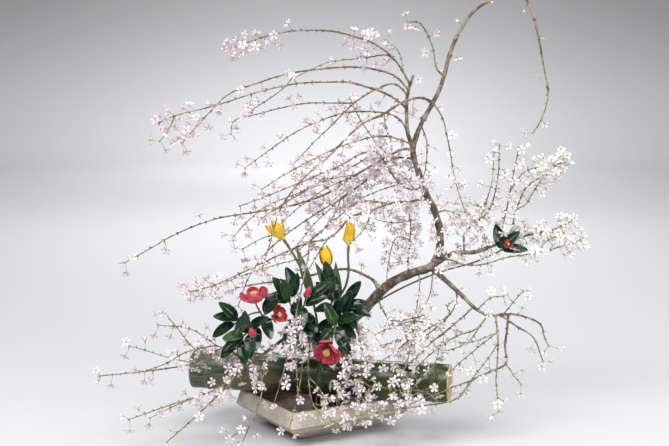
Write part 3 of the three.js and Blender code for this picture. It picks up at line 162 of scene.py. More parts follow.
def place(name, shape, paints, node):
    """Makes the shape a piece of the arrangement, which stands for the named solid."""
    mesh = bpy.data.meshes.new(name)
    points = np.concatenate(shape.points) * MM
    mesh.from_pydata(points, [], shape.faces)
    mark = mesh.attributes.new("mark", "FLOAT_VECTOR", "POINT")
    mark.data.foreach_set("vector", np.concatenate(shape.marks).ravel())
    for paint in paints:
        mesh.materials.append(paint)
    mesh.polygons.foreach_set("material_index", shape.paints)
    mesh.polygons.foreach_set("use_smooth", [True] * len(shape.faces))
    mesh.update()
    piece = stand(name, mesh)
    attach(piece, "root")
    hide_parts(node)


def plug(made, inputs):
    """Fills the sockets of a shader node, each with a wire, a colour or a number."""
    for name, value in inputs.items():
        socket = made.inputs[name]
        if isinstance(value, Wire):
            value.tree.links.new(value.socket, socket)
        elif socket.type == "RGBA":
            socket.default_value = (*value, 1.0)
        else:
            socket.default_value = value


class Wire:
    """A socket of a material. Sums on wires add Math nodes, and node() adds any other node."""

    def __init__(self, tree, socket=None):
        self.tree, self.socket = tree, socket

    def node(self, kind, settings=None, inputs=None, output=0):
        """Adds a node. Its settings go in first, then the values or links of its sockets."""
        made = self.tree.nodes.new(kind)
        for name, value in (settings or {}).items():
            setattr(made, name, value)
        plug(made, inputs or {})
        return Wire(self.tree, made.outputs[output])

    def math(self, operation, *values):
        return self.node("ShaderNodeMath", {"operation": operation}, dict(enumerate(values)))

    def __add__(self, other):
        return self.math("ADD", self, other)

    def __radd__(self, other):
        return self.math("ADD", other, self)

    def __sub__(self, other):
        return self.math("SUBTRACT", self, other)

    def __rsub__(self, other):
        return self.math("SUBTRACT", other, self)

    def __mul__(self, other):
        return self.math("MULTIPLY", self, other)

    def __rmul__(self, other):
        return self.math("MULTIPLY", other, self)

    def __abs__(self):
        return self.math("ABSOLUTE", self)

    def sine(self):
        return self.math("SINE", self)

    def rise(self, low, high):
        """From 0 to 1 as the value goes from low to high."""
        return self.node("ShaderNodeMapRange", {"interpolation_type": "SMOOTHSTEP"},
                         {"Value": self, "From Min": low, "From Max": high})

    def mixed(self, share, first, second):
        """The first colour where the share is 0, and the second where it is 1."""
        return self.node("ShaderNodeMix", {"data_type": "RGBA"},
                         {0: share, 6: first, 7: second}, 2)

    def noise(self, where, scale, detail=4.0, roughness=0.55):
        return self.node("ShaderNodeTexNoise", None, {
            "Vector": where, "Scale": scale, "Detail": detail, "Roughness": roughness})

    def cracks(self, where, scale, width):
        """Thin lines between the cells of a net."""
        cells = self.node("ShaderNodeTexVoronoi", {"feature": "DISTANCE_TO_EDGE"},
                          {"Vector": where, "Scale": scale})
        return 1.0 - cells.rise(0.0, width)

    def scaled(self, where, shares):
        """A place in mm, with a share under 1 on an axis that its pattern is drawn out along."""
        return self.node("ShaderNodeVectorMath", {"operation": "MULTIPLY"},
                         {0: where, 1: tuple(share / MM for share in shares)})

    def spot(self, along=1.0, over=1.0, up=1.0):
        """The place on the piece."""
        return self.scaled(self.node("ShaderNodeTexCoord", output="Object"), (along, over, up))

    def marks(self):
        """The three numbers of the mark that each point has."""
        mark = self.node("ShaderNodeAttribute", {"attribute_name": "mark"}, output="Vector")
        parts = self.node("ShaderNodeSeparateXYZ", None, {0: mark})
        return [Wire(self.tree, socket) for socket in parts.socket.node.outputs]

    def bump(self, height, strength, distance):
        return self.node("ShaderNodeBump", None, {
            "Height": height, "Strength": strength, "Distance": distance * MM})


def paint(name):
    """A material and the wire that its nodes are made with."""
    made = bpy.data.materials.new(name)
    made.use_nodes = True
    return made, Wire(made.node_tree)


def coat(wire, inputs):
    """Fills the sockets of the material's own shader."""
    plug(wire.tree.nodes["Principled BSDF"], inputs)


stoneware, wire = paint("stoneware")
inside, worn, crease_shade = wire.marks()
where = wire.spot()
cloud = wire.noise(where, 0.03, 5.0)
speckle = wire.noise(where, 1.4, 3.0)
crack = wire.cracks(where, 0.17, 0.05)
fine_crack = wire.cracks(where, 0.42, 0.07)
freckle = wire.noise(where, 0.3, 4.0, 0.6)
pale = wire.mixed(cloud.rise(0.38, 0.66), GLAZE_PALE, GLAZE_GREY)
pale = wire.mixed(worn * 0.7, pale, GLAZE_WARM)
pale = wire.mixed(speckle.rise(0.56, 0.70) * 0.6, pale, GLAZE_WARM)
pale = wire.mixed(freckle.rise(0.52, 0.62) * 0.5, pale, GLAZE_WARM)
pale = wire.mixed(crack * 0.6 + fine_crack * 0.4, pale, GLAZE_CRACK_AND_SHADE)
# Painted shade: a dark line along the crease, under the widest part of the wall, and at the foot.
pale = wire.mixed(crease_shade * (0.55 + cloud * 0.4), pale, GLAZE_CRACK_AND_SHADE)
brown = wire.mixed(cloud.rise(0.4, 0.7), GLAZE_BROWN, GLAZE_RUST)
height = speckle * 0.5 + cloud * 1.2 - crack * 0.8 - fine_crack * 0.3
coat(wire, {
    "Base Color": wire.mixed(inside, pale, brown),
    "Roughness": 0.36 + speckle * 0.2,
    "Coat Weight": 0.25,
    "Coat Roughness": 0.2,
    "Normal": wire.bump(height, 0.5, 0.5),
})


def swung(points, angle):
    """The points turned about the upright axis."""
    x, y, z = np.asarray(points).T
    cos, sin = math.cos(angle), math.sin(angle)
    return np.column_stack([x * cos - y * sin, x * sin + y * cos, z])


def plan_ring(half, corner, height):
    """A rectangle with rounded corners at a height, turned to the bowl's plan angle."""
    corners = []
    for quarter, (x, y) in enumerate([(1, 1), (-1, 1), (-1, -1), (1, -1)]):
        angles = (quarter + np.arange(CORNER_STEPS + 1) / CORNER_STEPS) * math.pi / 2
        corners.append(np.column_stack([x * (half[0] - corner) + corner * np.cos(angles),
                                        y * (half[1] - corner) + corner * np.sin(angles)]))
    ring, parts = [], np.arange(1, SIDE_STEPS)[:, None] / SIDE_STEPS
    for here, after in zip(corners, corners[1:] + corners[:1]):
        ring.extend([*here, *(here[-1] + (after[0] - here[-1]) * parts)])
    return swung([(x, y, height) for x, y in ring], BOWL_TURN)


def bowl_half(height, inset):
    """Half sizes of the bowl's outside at a height, less an inset."""
    if height < CREASE_HEIGHT:
        low, high, part = BOWL_BASE, BOWL_CREASE, height / CREASE_HEIGHT
    else:
        low, high = BOWL_CREASE, BOWL_RIM
        part = (height - CREASE_HEIGHT) / (BOWL_HEIGHT - CREASE_HEIGHT)
    return [a + (b - a) * part - inset for a, b in zip(low, high)]


def wobble(points, size, pitch):
    """Small soft waves, as a hand leaves in clay."""
    a, b, c = (points / pitch).T
    wave = np.sin(a + 1.7 * np.sin(b)) + np.sin(1.3 * b + 1.1 * np.sin(c)) + np.sin(1.7 * c + a)
    return wave[:, None] * size / 3


# Each level of the skin: height, inset from the outside line, brown share, worn share.
bowl_levels = [(0.0, 6.0, 0, 0.6), (0.0, 1.2, 0, 0.8), (1.2, 0.2, 0, 0.7), (6, 0, 0, 0.2)]
bowl_levels += [(h, 0.0, 0, 0.0) for h in (13, 20, 27, 34, 38)]
bowl_levels += [(39.2, 0.0, 0, 0.1), (40.3, 0.3, 0, 0.3), (41.2, 0.6, 0, 0.4), (42, 0.9, 0, 0.6)]
bowl_levels += [(43, 0.4, 0, 0.3), (44.2, 0.0, 0, 0.1)]
bowl_levels += [(h, 0.0, 0, 0.0) for h in (47, 53, 59, 65, 70)]
bowl_levels += [(73, 0.3, 0, 0.3), (74.3, 1.2, 0, 0.7), (75, 3.0, 0.1, 0.9)]
bowl_levels += [(75, 6.0, 0.45, 0.7), (74.2, 8.0, 0.9, 0)]
bowl_levels += [(h, BOWL_WALL, 1, 0) for h in (72.5, 66, 56, CREASE_HEIGHT)]
bowl_levels += [(26, 11.0, 1, 0), (14, 13.0, 1, 0)]
bowl_levels += [(BOWL_FLOOR, inset, 1, 0) for inset in (16.0, 40.0)]
rings, marks = [], []
for height, inset, brown_share, worn_share in bowl_levels:
    ring = plan_ring(bowl_half(height, inset), max(BOWL_CORNER - inset * 0.5, 2.0), height)
    away = ring * (1, 1, 0) / np.linalg.norm(ring[:, :2], axis=1)[:, None]
    soft = 0.0 if height < 1.0 or inset > 5 else 0.5
    rings.append(ring - away * (soft * 0.5 + wobble(ring, soft, 23.0)))
    # Share of painted shade: a thin band just under the crease, and the foot.
    crease_shade = max(0.0, 1 - abs(height - CREASE_HEIGHT + 1.0) / 1.8) + 0.6 * (height < 1.0)
    marks.append((brown_share, worn_share, crease_shade))
bowl = Shape()
bowl.skin(rings, marks)
place("bowl_glazed", bowl, [stoneware], "bowl")

# ------------------------------------------------------------------ needle holder
# A heavy cast plate that lies on the bowl's floor under the water. Its upright brass needles
# hold the cut ends of the stems.

PLATE_CENTRE, PLATE_RADIUS, PLATE_HEIGHT = (14.0, 38.0), 42.0, 13.0
PLATE_LOW = BOWL_FLOOR + 0.3
NEEDLE_LENGTH, NEEDLE_RADIUS, NEEDLE_POINT, NEEDLE_ROOT = 11.0, 0.55, 3.0, 1.5
NEEDLE_PITCH, NEEDLE_FIELD = 4.2, PLATE_RADIUS - 6.5
NEEDLE_ROW = NEEDLE_PITCH * 0.866
LEAD_DARK, LEAD_DULL = (0.16, 0.165, 0.17), (0.27, 0.27, 0.26)
BRASS_BRIGHT, BRASS_BROWN = (0.62, 0.42, 0.16), (0.38, 0.27, 0.12)

lead, wire = paint("cast_plate")
dull = wire.noise(wire.spot(), 0.35)
coat(wire, {
    "Base Color": wire.mixed(dull.rise(0.35, 0.7), LEAD_DARK, LEAD_DULL),
    "Metallic": 0.85,
    "Roughness": 0.42 + dull * 0.25,
    "Normal": wire.bump(dull, 0.4, 0.3),
})
brass, wire = paint("needle_brass")
dull = wire.noise(wire.spot(), 0.9)
coat(wire, {
    "Base Color": wire.mixed(dull.rise(0.35, 0.7), BRASS_BRIGHT, BRASS_BROWN),
    "Metallic": 1.0,
    "Roughness": 0.24 + dull * 0.2,
})


def round_angles(sides):
    """The angles of points that stand evenly round a stem."""
    return np.arange(sides) * 2 * math.pi / sides


def turned(profile, sides, centre=(0.0, 0.0)):
    """Rings of a round shape on an upright axis, from its profile of (radius, height)."""
    angles = round_angles(sides)
    around = np.column_stack([np.cos(angles), np.sin(angles), np.zeros(sides)])
    return [np.array([*centre, 0.0]) + around * radius + (0, 0, height)
            for radius, height in profile]


holder = Shape()
top = PLATE_LOW + PLATE_HEIGHT
holder.skin(turned([
    (PLATE_RADIUS - 1.5, PLATE_LOW), (PLATE_RADIUS, PLATE_LOW + 1.5), (PLATE_RADIUS, top - 3.0),
    (PLATE_RADIUS - 0.6, top - 1.2), (PLATE_RADIUS - 2.0, top), (PLATE_RADIUS - 4.0, top),
    (PLATE_RADIUS - 4.6, top - 0.8), (PLATE_RADIUS - 6.0, top - 0.8)], 48, PLATE_CENTRE), 0.0)
rows = int(NEEDLE_FIELD / NEEDLE_ROW)
for row in range(-rows, rows + 1):
    for column in range(-rows - 2, rows + 3):
        x, y = (column + (row % 2) / 2) * NEEDLE_PITCH, row * NEEDLE_ROW
        if math.hypot(x, y) < NEEDLE_FIELD:
            at = (PLATE_CENTRE[0] + x, PLATE_CENTRE[1] + y)
            shaft = [(NEEDLE_RADIUS, top - NEEDLE_ROOT),
                     (NEEDLE_RADIUS, top + NEEDLE_LENGTH - NEEDLE_POINT)]
            holder.skin(turned(shaft, 6, at), 0.0, 1, last=(*at, top + NEEDLE_LENGTH))
place("needle_holder", holder, [lead, brass], "kenzan")

# ------------------------------------------------------------------ water
# The bowl is filled to two fingers under the rim. The water is clear but lies over brown glaze,
# so it looks dark, and it shines.

WATER_LEVEL, WATER_CLEAR = 58.0, 0.6
WATER_DARK, WATER_BROWN = (0.055, 0.036, 0.024), (0.085, 0.058, 0.038)

still_water, wire = paint("still_water")
ripple = wire.noise(wire.spot(up=0.3), 0.012, 2.0)
coat(wire, {
    "Base Color": wire.mixed(ripple.rise(0.3, 0.7), WATER_DARK, WATER_BROWN),
    "Roughness": 0.03 + ripple * 0.03,
    "IOR": 1.33,
    "Alpha": 0.3,
    "Normal": wire.bump(ripple, 0.15, 0.6),
})
water = Shape()
rings = []
for height, inset in [(BOWL_FLOOR + 0.3, 13.0), (CREASE_HEIGHT, BOWL_WALL),
                      (WATER_LEVEL - 1.0, BOWL_WALL), (WATER_LEVEL - 0.2, BOWL_WALL)]:
    rings.append(plan_ring(bowl_half(height, inset + WATER_CLEAR), 5.5, height))
rings.append(plan_ring(bowl_half(WATER_LEVEL, 11.5), 5.0, WATER_LEVEL - 0.8))
water.skin(rings, 0.0)
place("water_surface", water, [still_water], "water")

# ------------------------------------------------------------------ bamboo
# One length of green culm, sawn at both ends and laid on the rim. Its skin is glossy and dark,
# mottled brown to the left, with a ridge and a pale bloom at each node. It is hollow.

CULM_RADIUS, CULM_BORE, CULM_LENGTH = 42.0, 33.0, 583.0
CULM_MIDDLE, CULM_YAW = (-2.0, -27.0), math.radians(-13)
CULM_SEPTUM, CULM_NODES, CULM_RIDGE = 45.0, (40.0, 300.0, 548.0), 2.2
CULM_HEIGHT, CULM_SIDES, CULM_FLAT = BOWL_HEIGHT + CULM_RADIUS + CULM_RIDGE + 0.3, 96, 0.012
SKIN_GREEN, SKIN_DEEP = (0.034, 0.070, 0.009), (0.006, 0.020, 0.003)
SKIN_MOTTLE, SKIN_SHEEN_BLUE = (0.150, 0.105, 0.030), (0.19, 0.23, 0.19)
CUT_TAN, CUT_BROWN, NODE_GREY = (0.82, 0.64, 0.42), (0.52, 0.34, 0.18), (0.16, 0.15, 0.08)

culm_skin, wire = paint("culm_skin")
along, cut, _ = wire.marks()
turn_back = wire.node("ShaderNodeVectorRotate", {"rotation_type": "Z_AXIS"}, {
    "Vector": wire.node("ShaderNodeTexCoord", output="Object"), "Angle": -CULM_YAW})
lines = wire.noise(wire.scaled(turn_back, (0.06, 1.0, 1.0)), 0.35, 6.0, 0.6)
blotch_at = wire.scaled(turn_back, (0.42, 1.0, 1.0))
blotch = wire.noise(blotch_at, 0.032, 5.0, 0.62)
soft_blotch = wire.noise(blotch_at, 0.014, 3.0)
green = wire.mixed(lines.rise(0.35, 0.7), SKIN_DEEP, SKIN_GREEN)
# Painted sheen: a bluish-grey painted reflection in faint soft patches.
green = wire.mixed(soft_blotch.rise(0.5, 0.75) * 0.12, green, SKIN_SHEEN_BLUE)
# Further to the left: more of the bluish-grey painted sheen, in streaks, and more brown mottle.
left_share = 1.0 - along.rise(130.0, 360.0)
green = wire.mixed(left_share * lines.rise(0.3, 0.75) * 0.7, green, SKIN_SHEEN_BLUE)
green = wire.mixed(blotch.rise(0.47, 0.56) * (left_share * 0.75 + 0.15), green, SKIN_MOTTLE)
# Painted shade: the middle of the culm is darkened towards the deep green, as where the flowers
# above shade it.
shaded_middle = along.rise(170.0, 225.0) * (1.0 - along.rise(285.0, 345.0))
green = wire.mixed(shaded_middle * (soft_blotch.rise(0.3, 0.6) * 0.3 + 0.6), green, SKIN_DEEP)
near_node = 0.0
for node_at in CULM_NODES:
    near_node = (1.0 - abs(along - node_at).rise(1.0, 9.0)) + near_node
green = wire.mixed(near_node * 0.35, green, NODE_GREY)
fibre = wire.noise(wire.spot(), 1.1, 2.0)
sawn = wire.mixed(fibre.rise(0.4, 0.62), CUT_TAN, CUT_BROWN)
coat(wire, {
    "Base Color": wire.mixed(cut, green, sawn),
    "Roughness": 0.26 + lines * 0.14 + cut * 0.4,
    "Specular IOR Level": 0.34,
    "Coat Weight": 0.12 - cut * 0.12,
    "Coat Roughness": 0.1,
    "Normal": wire.bump(lines * 0.7 + blotch * 0.5, 0.22, 0.4),
})


def culm_radius(at):
    """The culm swells to a double ridge at each node and tapers a little to the right."""
    radius = CULM_RADIUS - 0.8 * at / CULM_LENGTH
    for node_at in CULM_NODES:
        step = at - node_at
        radius += CULM_RIDGE * math.exp(-(step / 3.2) ** 2)
        radius += 0.9 * math.exp(-((step - 7.5) / 4.5) ** 2)
        radius -= 0.7 * math.exp(-((step + 5.0) / 1.6) ** 2)
    return min(radius, CULM_RADIUS + CULM_RIDGE)


def culm_ring(radius, at):
    """A slightly flat round of the culm, at a length from its left end."""
    angles = round_angles(CULM_SIDES)
    radii = radius * (1 - CULM_FLAT * np.cos(2 * angles))
    x = np.full(CULM_SIDES, at - CULM_LENGTH / 2)
    ring = np.column_stack([x, radii * np.cos(angles), radii * np.sin(angles)])
    return swung(ring, CULM_YAW) + (*CULM_MIDDLE, CULM_HEIGHT)


spots = sorted({*np.linspace(2.5, CULM_LENGTH - 2.5, 70),
                *(n + d for n in CULM_NODES for d in np.arange(-11, 15, 1.6))})
profile = [(CULM_BORE * 0.5, CULM_SEPTUM, 1), (CULM_BORE - 5, CULM_SEPTUM, 1)]
profile += [(CULM_BORE - 1, CULM_SEPTUM - 2, 1), (CULM_BORE, 38, 1), (CULM_BORE, 12, 1)]
profile += [(CULM_BORE, 0.6, 1), (CULM_BORE + 0.6, 0, 1), (CULM_RADIUS - 2, 0, 1)]
profile += [(CULM_RADIUS - 0.9, 0.1, 1), (CULM_RADIUS - 0.1, 0.8, 0.6)]
profile += [(culm_radius(at), at, 0) for at in spots]
profile += [(r, CULM_LENGTH - at, cut) for r, at, cut in reversed(profile[:10])]
culm = Shape()
culm.skin([culm_ring(radius, at) for radius, at, _ in profile],
          [(at, cut, 0.0) for _, at, cut in profile])
place("bamboo_culm", culm, [culm_skin], "bamboo")

# ------------------------------------------------------------------ cherry limb
# The old limb of a weeping cherry stands on the needle holder, leans to the right and forks. It
# is one grown piece. Its bark is grey-brown with level bands of pores, and paler on the twigs.

UP, FRONT = np.array([0.0, 0.0, 1.0]), np.array([0.0, -1.0, 0.0])
GOLDEN_ANGLE = 2.399963
GROUND_ROOM, BOWL_ROOM, CULM_ROOM, PEDICEL_ROOM, ROOM_STEP = 4.0, 2.0, 3.0, 2.0, 6.0
BARK_OLD, BARK_LIGHT = (0.078, 0.056, 0.044), (0.290, 0.232, 0.186)
BARK_PORE, BUD_SCALE = (0.026, 0.017, 0.013), (0.055, 0.034, 0.022)
TWIG_DARK, TWIG_TAN = (0.105, 0.078, 0.058), (0.34, 0.265, 0.185)
OLD_WOOD, BRANCH_WOOD, SPUR_WOOD = 8, 4, 7
LIMB_SLIM, LOW_SLIM, SPRAY_SLIM, ARC_STOUT = 0.9, 0.95, 0.86, 1.35


def unit(vector):
    return vector / np.linalg.norm(vector)


def foot(x, y):
    """Where a stem stands on the needle holder."""
    return np.array([x, y, PLATE_LOW + PLATE_HEIGHT + 0.3])


def curve_point(points, t):
    """A point of the smooth line through the points, from t = 0 to 1."""
    last = len(points) - 1
    index = min(int(last * t), last - 1)
    share = last * t - index
    p1, p2 = points[index], points[index + 1]
    p0 = points[index - 1] if index else 2 * p1 - p2
    p3 = points[index + 2] if index + 2 <= last else 2 * p2 - p1
    gaps = [np.linalg.norm(b - a) ** 0.5 for a, b in ((p0, p1), (p1, p2), (p2, p3))]
    start = ((p1 - p0) / gaps[0] - (p2 - p0) / (gaps[0] + gaps[1]) + (p2 - p1) / gaps[1]) * gaps[1]
    end = ((p2 - p1) / gaps[1] - (p3 - p1) / (gaps[1] + gaps[2]) + (p3 - p2) / gaps[2]) * gaps[1]
    return (p1 + start * share + (3 * (p2 - p1) - 2 * start - end) * share ** 2
            + (2 * (p1 - p2) + start + end) * share ** 3)


def route(stops, steps, samples=8):
    """The smooth line through the stops, cut into equal steps."""
    points = [stop if isinstance(stop, np.ndarray) else seen(stop) for stop in stops]
    count = samples * (len(points) - 1)
    fine = np.array([curve_point(points, i / count) for i in range(count + 1)])
    reach = reach_along(fine)
    targets = reach[-1] * np.arange(steps + 1) / steps
    return np.column_stack([np.interp(targets, reach, fine[:, axis]) for axis in range(3)])


def heading(stations, i):
    """The way that a line of points runs at one of them."""
    return unit(stations[min(i + 1, len(stations) - 1)] - stations[max(i - 1, 0)])


def square_to(along, guide):
    """A unit vector square to the given one, nearest to the guide."""
    side = guide - along * np.dot(guide, along)
    if np.linalg.norm(side) < 0.05:
        side = np.array([along[2], 0.0, -along[0]])
    return unit(side)


def about(axis, vector, angle):
    """The vector turned about a unit axis."""
    return (vector * math.cos(angle) + np.cross(axis, vector) * math.sin(angle)
            + axis * np.dot(axis, vector) * (1 - math.cos(angle)))


def nearest(points, target):
    """The one of the points that is nearest to the target."""
    points = np.asarray(points)
    return points[np.argmin(np.linalg.norm(points - target, axis=1))].copy()


class Room:
    """The room that the pieces have taken, as balls, so that no blossom is in another's place."""

    def __init__(self):
        self.owners, self.balls = np.zeros(4096), np.zeros((4096, 4))
        self.count, self.names = 0, {}

    def claim(self, owner, centre, radius):
        if self.count == len(self.owners):
            self.owners = np.concatenate([self.owners, self.owners * 0])
            self.balls = np.concatenate([self.balls, self.balls * 0])
        self.owners[self.count] = self.names.setdefault(owner, len(self.names))
        self.balls[self.count] = (*centre, radius)
        self.count += 1

    def claim_line(self, owner, start, end, radius):
        count = max(1, math.ceil(np.linalg.norm(end - start) / ROOM_STEP))
        for i in range(count + 1):
            self.claim(owner, start + (end - start) * i / count, radius)

    def claim_route(self, owner, stations, radii):
        for i in range(1, len(stations)):
            radius = radii[0] + (radii[1] - radii[0]) * i / (len(stations) - 1)
            self.claim_line(owner, stations[i - 1], stations[i], radius)

    def is_free(self, owner, centre, radius):
        if centre[2] < radius + GROUND_ROOM or in_bowl(centre, radius + BOWL_ROOM):
            return False
        balls, owners = self.balls[:self.count], self.owners[:self.count]
        near = np.linalg.norm(balls[:, :3] - centre, axis=1) <= balls[:, 3] + radius
        return not np.any(near & (owners != self.names.get(owner, -1)))

    def of(self, *owners):
        chosen = np.isin(self.owners[:self.count], [self.names[name] for name in owners])
        return self.balls[:self.count][chosen]


def in_bowl(point, margin):
    """True for a point in the bowl, or closer to it than the margin."""
    if point[2] > BOWL_HEIGHT + margin:
        return False
    along, over, _ = abs(swung([point], -BOWL_TURN)[0])
    return along < BOWL_CREASE[0] + margin and over < BOWL_CREASE[1] + margin


room = Room()
culm_end = swung([((CULM_LENGTH - CULM_RADIUS) / 2, 0.0, 0.0)], CULM_YAW)[0]
culm_centre = np.array([*CULM_MIDDLE, CULM_HEIGHT])
room.claim_line("bamboo", culm_centre - culm_end, culm_centre + culm_end, CULM_RADIUS + CULM_ROOM)


def twig(root_radius, tip_radius, growth, *stops):
    """A twig through its stops. Growth says what stands at each station along it: a digit is so
    many blossoms, b a bud, v a young leaf, and - is bare."""
    return {"radii": (root_radius, tip_radius), "growth": growth, "stops": stops}


def plan_cherry(owner, twigs):
    """Finds the stations of a branch's twigs and claims the room that they take."""
    stations = []
    for part in twigs:
        part["stations"] = route(part["stops"], len(part["growth"]))
        if stations:
            part["stations"][0] = nearest(stations, part["stations"][0])
        stations.extend(part["stations"])
        if owner != "cherry_limb" and part is twigs[0]:
            start_clear(part)
        room.claim_route(owner, part["stations"], part["radii"])


def lay(part, joins):
    """Finds the stations of a twig that grows from one of the points."""
    part["stations"] = route(part["stops"], len(part["growth"]))
    part["stations"][0] = nearest(joins, part["stations"][0])


def start_clear(part):
    """A spray's growth begins just clear of the branch that it grows from."""
    root, after = part["stations"][:2].copy()
    taken = room.of("cherry_limb", *(["low_branch"] if "low_branch" in room.names else []))
    step = 0.0
    while step < 0.9:
        point = root + (after - root) * step
        gaps = np.linalg.norm(taken[:, :3] - point, axis=1) - taken[:, 3]
        if np.all(gaps > part["radii"][0] + 0.3):
            break
        step += 0.02
    part["stations"][0] = root + (after - root) * step


def sweep(points, radii, sides, level=False):
    """Rings of a round stem along a line of points, with no twist."""
    side = square_to(heading(points, 0), FRONT)
    angles = round_angles(sides)
    rings = []
    for i, point in enumerate(points):
        along = UP if level and i == 0 else heading(points, i)
        side = square_to(along, side)
        other = np.cross(along, side)
        around = np.outer(np.cos(angles), side) + np.outer(np.sin(angles), other)
        rings.append(point + around * np.asarray(radii[i]).reshape(-1, 1))
    return rings


def reach_along(points):
    """How far along its line each point is."""
    steps = np.linalg.norm(np.diff(points, axis=0), axis=1)
    return np.concatenate([[0.0], np.cumsum(steps)])


def scale_bud(shape, at, way, length, radius, shade):
    """A brown bud or spur: a small pointed egg that sits on the bark."""
    parts = [(0.0, 0.75), (0.3, 1.0), (0.62, 0.75), (0.86, 0.35)]
    points = np.array([at + way * length * part for part, _ in parts])
    rings = sweep(points, [radius * share for _, share in parts], 5)
    shape.skin(rings, (0.0, 0.0, shade), last=at + way * length)


def bark_ring(radius, reach, sides, seed):
    """Radii round an old stem: long low swellings, which turn slowly along it."""
    angles = round_angles(sides)
    swell = 0.045 * np.sin(2 * angles + reach / 47 + seed) + 0.03 * np.sin(3 * angles - reach / 31)
    swell += 0.018 * np.sin(5 * angles + reach / 13 + 2 * seed)
    swell += 0.012 * np.sin(reach / 2.9 + seed) * np.sin(angles * 2 + reach / 19)
    return radius * (1 + swell)


def grow_wood(shape, part, order, joins, draw, slim=1.0):
    """The wood of a twig, with its bud spurs. It starts in the wood that it grows from."""
    steps = len(part["growth"])
    inner = max(2, round(reach_along(part["stations"])[-1] / steps / ROOM_STEP))
    points = route(part["stops"], steps * inner, 24)
    if joins is not None:
        shift = nearest(joins, points[0]) - points[0]
        fade = np.clip(1 - np.arange(len(points)) / inner, 0, 1) ** 1.5
        points = points + fade[:, None] * shift
    reach = reach_along(points)
    first, last = part["radii"]
    share = reach / reach[-1]
    radii = (first + (last - first) * share) * slim
    if joins is not None:
        radii = radii + 0.7 * first * np.exp(-reach / (1.6 * first))
    knots = reach[::inner]
    for knot in knots[1:-1]:
        radii = radii + 0.16 * radii * np.exp(-((reach - knot) / (1.4 * last + 1.2)) ** 2)
    sides = 28 if first > OLD_WOOD else 14 if first > BRANCH_WOOD else 8
    if first > BRANCH_WOOD:
        rounds = [bark_ring(radius, at, sides, order) for radius, at in zip(radii, reach)]
    else:
        rounds = [np.full(sides, radius) for radius in radii]
    rings = sweep(points, rounds, sides, level=joins is None and points[0][2] < 30)
    tip_way = heading(points, len(points) - 1)
    end = points[-1] + tip_way * last * 0.8
    shape.skin(rings, [(at, radius, 0.0) for at, radius in zip(reach, radii)], last=end)
    for index in range(1, len(points) - 1):
        spurs = 2 if index % inner == 0 else 1 if index % inner == inner // 2 else 0
        for _ in range(spurs if radii[index] < SPUR_WOOD else 0):
            along = heading(points, index)
            side = square_to(along, np.array([0.0, -1.0, 0.3]))
            way = unit(about(along, side, draw.uniform(0, 2 * math.pi)) + along * 0.8)
            length = draw.uniform(3.4, 6.4)
            at = points[index] + way * radii[index] * 0.6
            scale_bud(shape, at, way, length, draw.uniform(1.0, 1.7), draw.uniform(0.45, 1.0))
    scale_bud(shape, end - tip_way * 1.5, tip_way, 4.2, max(last, 1.1), 0.9)
    return points


bark, wire = paint("cherry_bark")
along, girth, scaly = wire.marks()
where = wire.spot()
patch = wire.noise(where, 0.055, 5.0, 0.6)
grit = wire.noise(where, 0.9, 4.0, 0.6)
old = girth.rise(2.4, 7.5)
bands = (along * 0.62 + patch * 5.0).sine()
pores = bands.rise(0.55, 0.95) * wire.noise(where, 0.22, 3.0).rise(0.46, 0.62)
weathered = wire.mixed(patch.rise(0.42, 0.64), BARK_OLD, BARK_LIGHT)
weathered = wire.mixed(pores * 0.85, weathered, BARK_PORE)
young = wire.mixed(patch.rise(0.40, 0.60), TWIG_DARK, TWIG_TAN)
colour = wire.mixed(old, young, weathered)
colour = wire.mixed(grit.rise(0.52, 0.75) * 0.35, colour, BARK_PORE)
coat(wire, {
    "Base Color": wire.mixed(scaly, colour, BUD_SCALE),
    "Roughness": 0.62 + grit * 0.25,
    "Specular IOR Level": 0.35,
    "Normal": wire.bump(grit * 0.5 + pores * 0.9 + patch * 0.6, 0.55, 0.7),
})

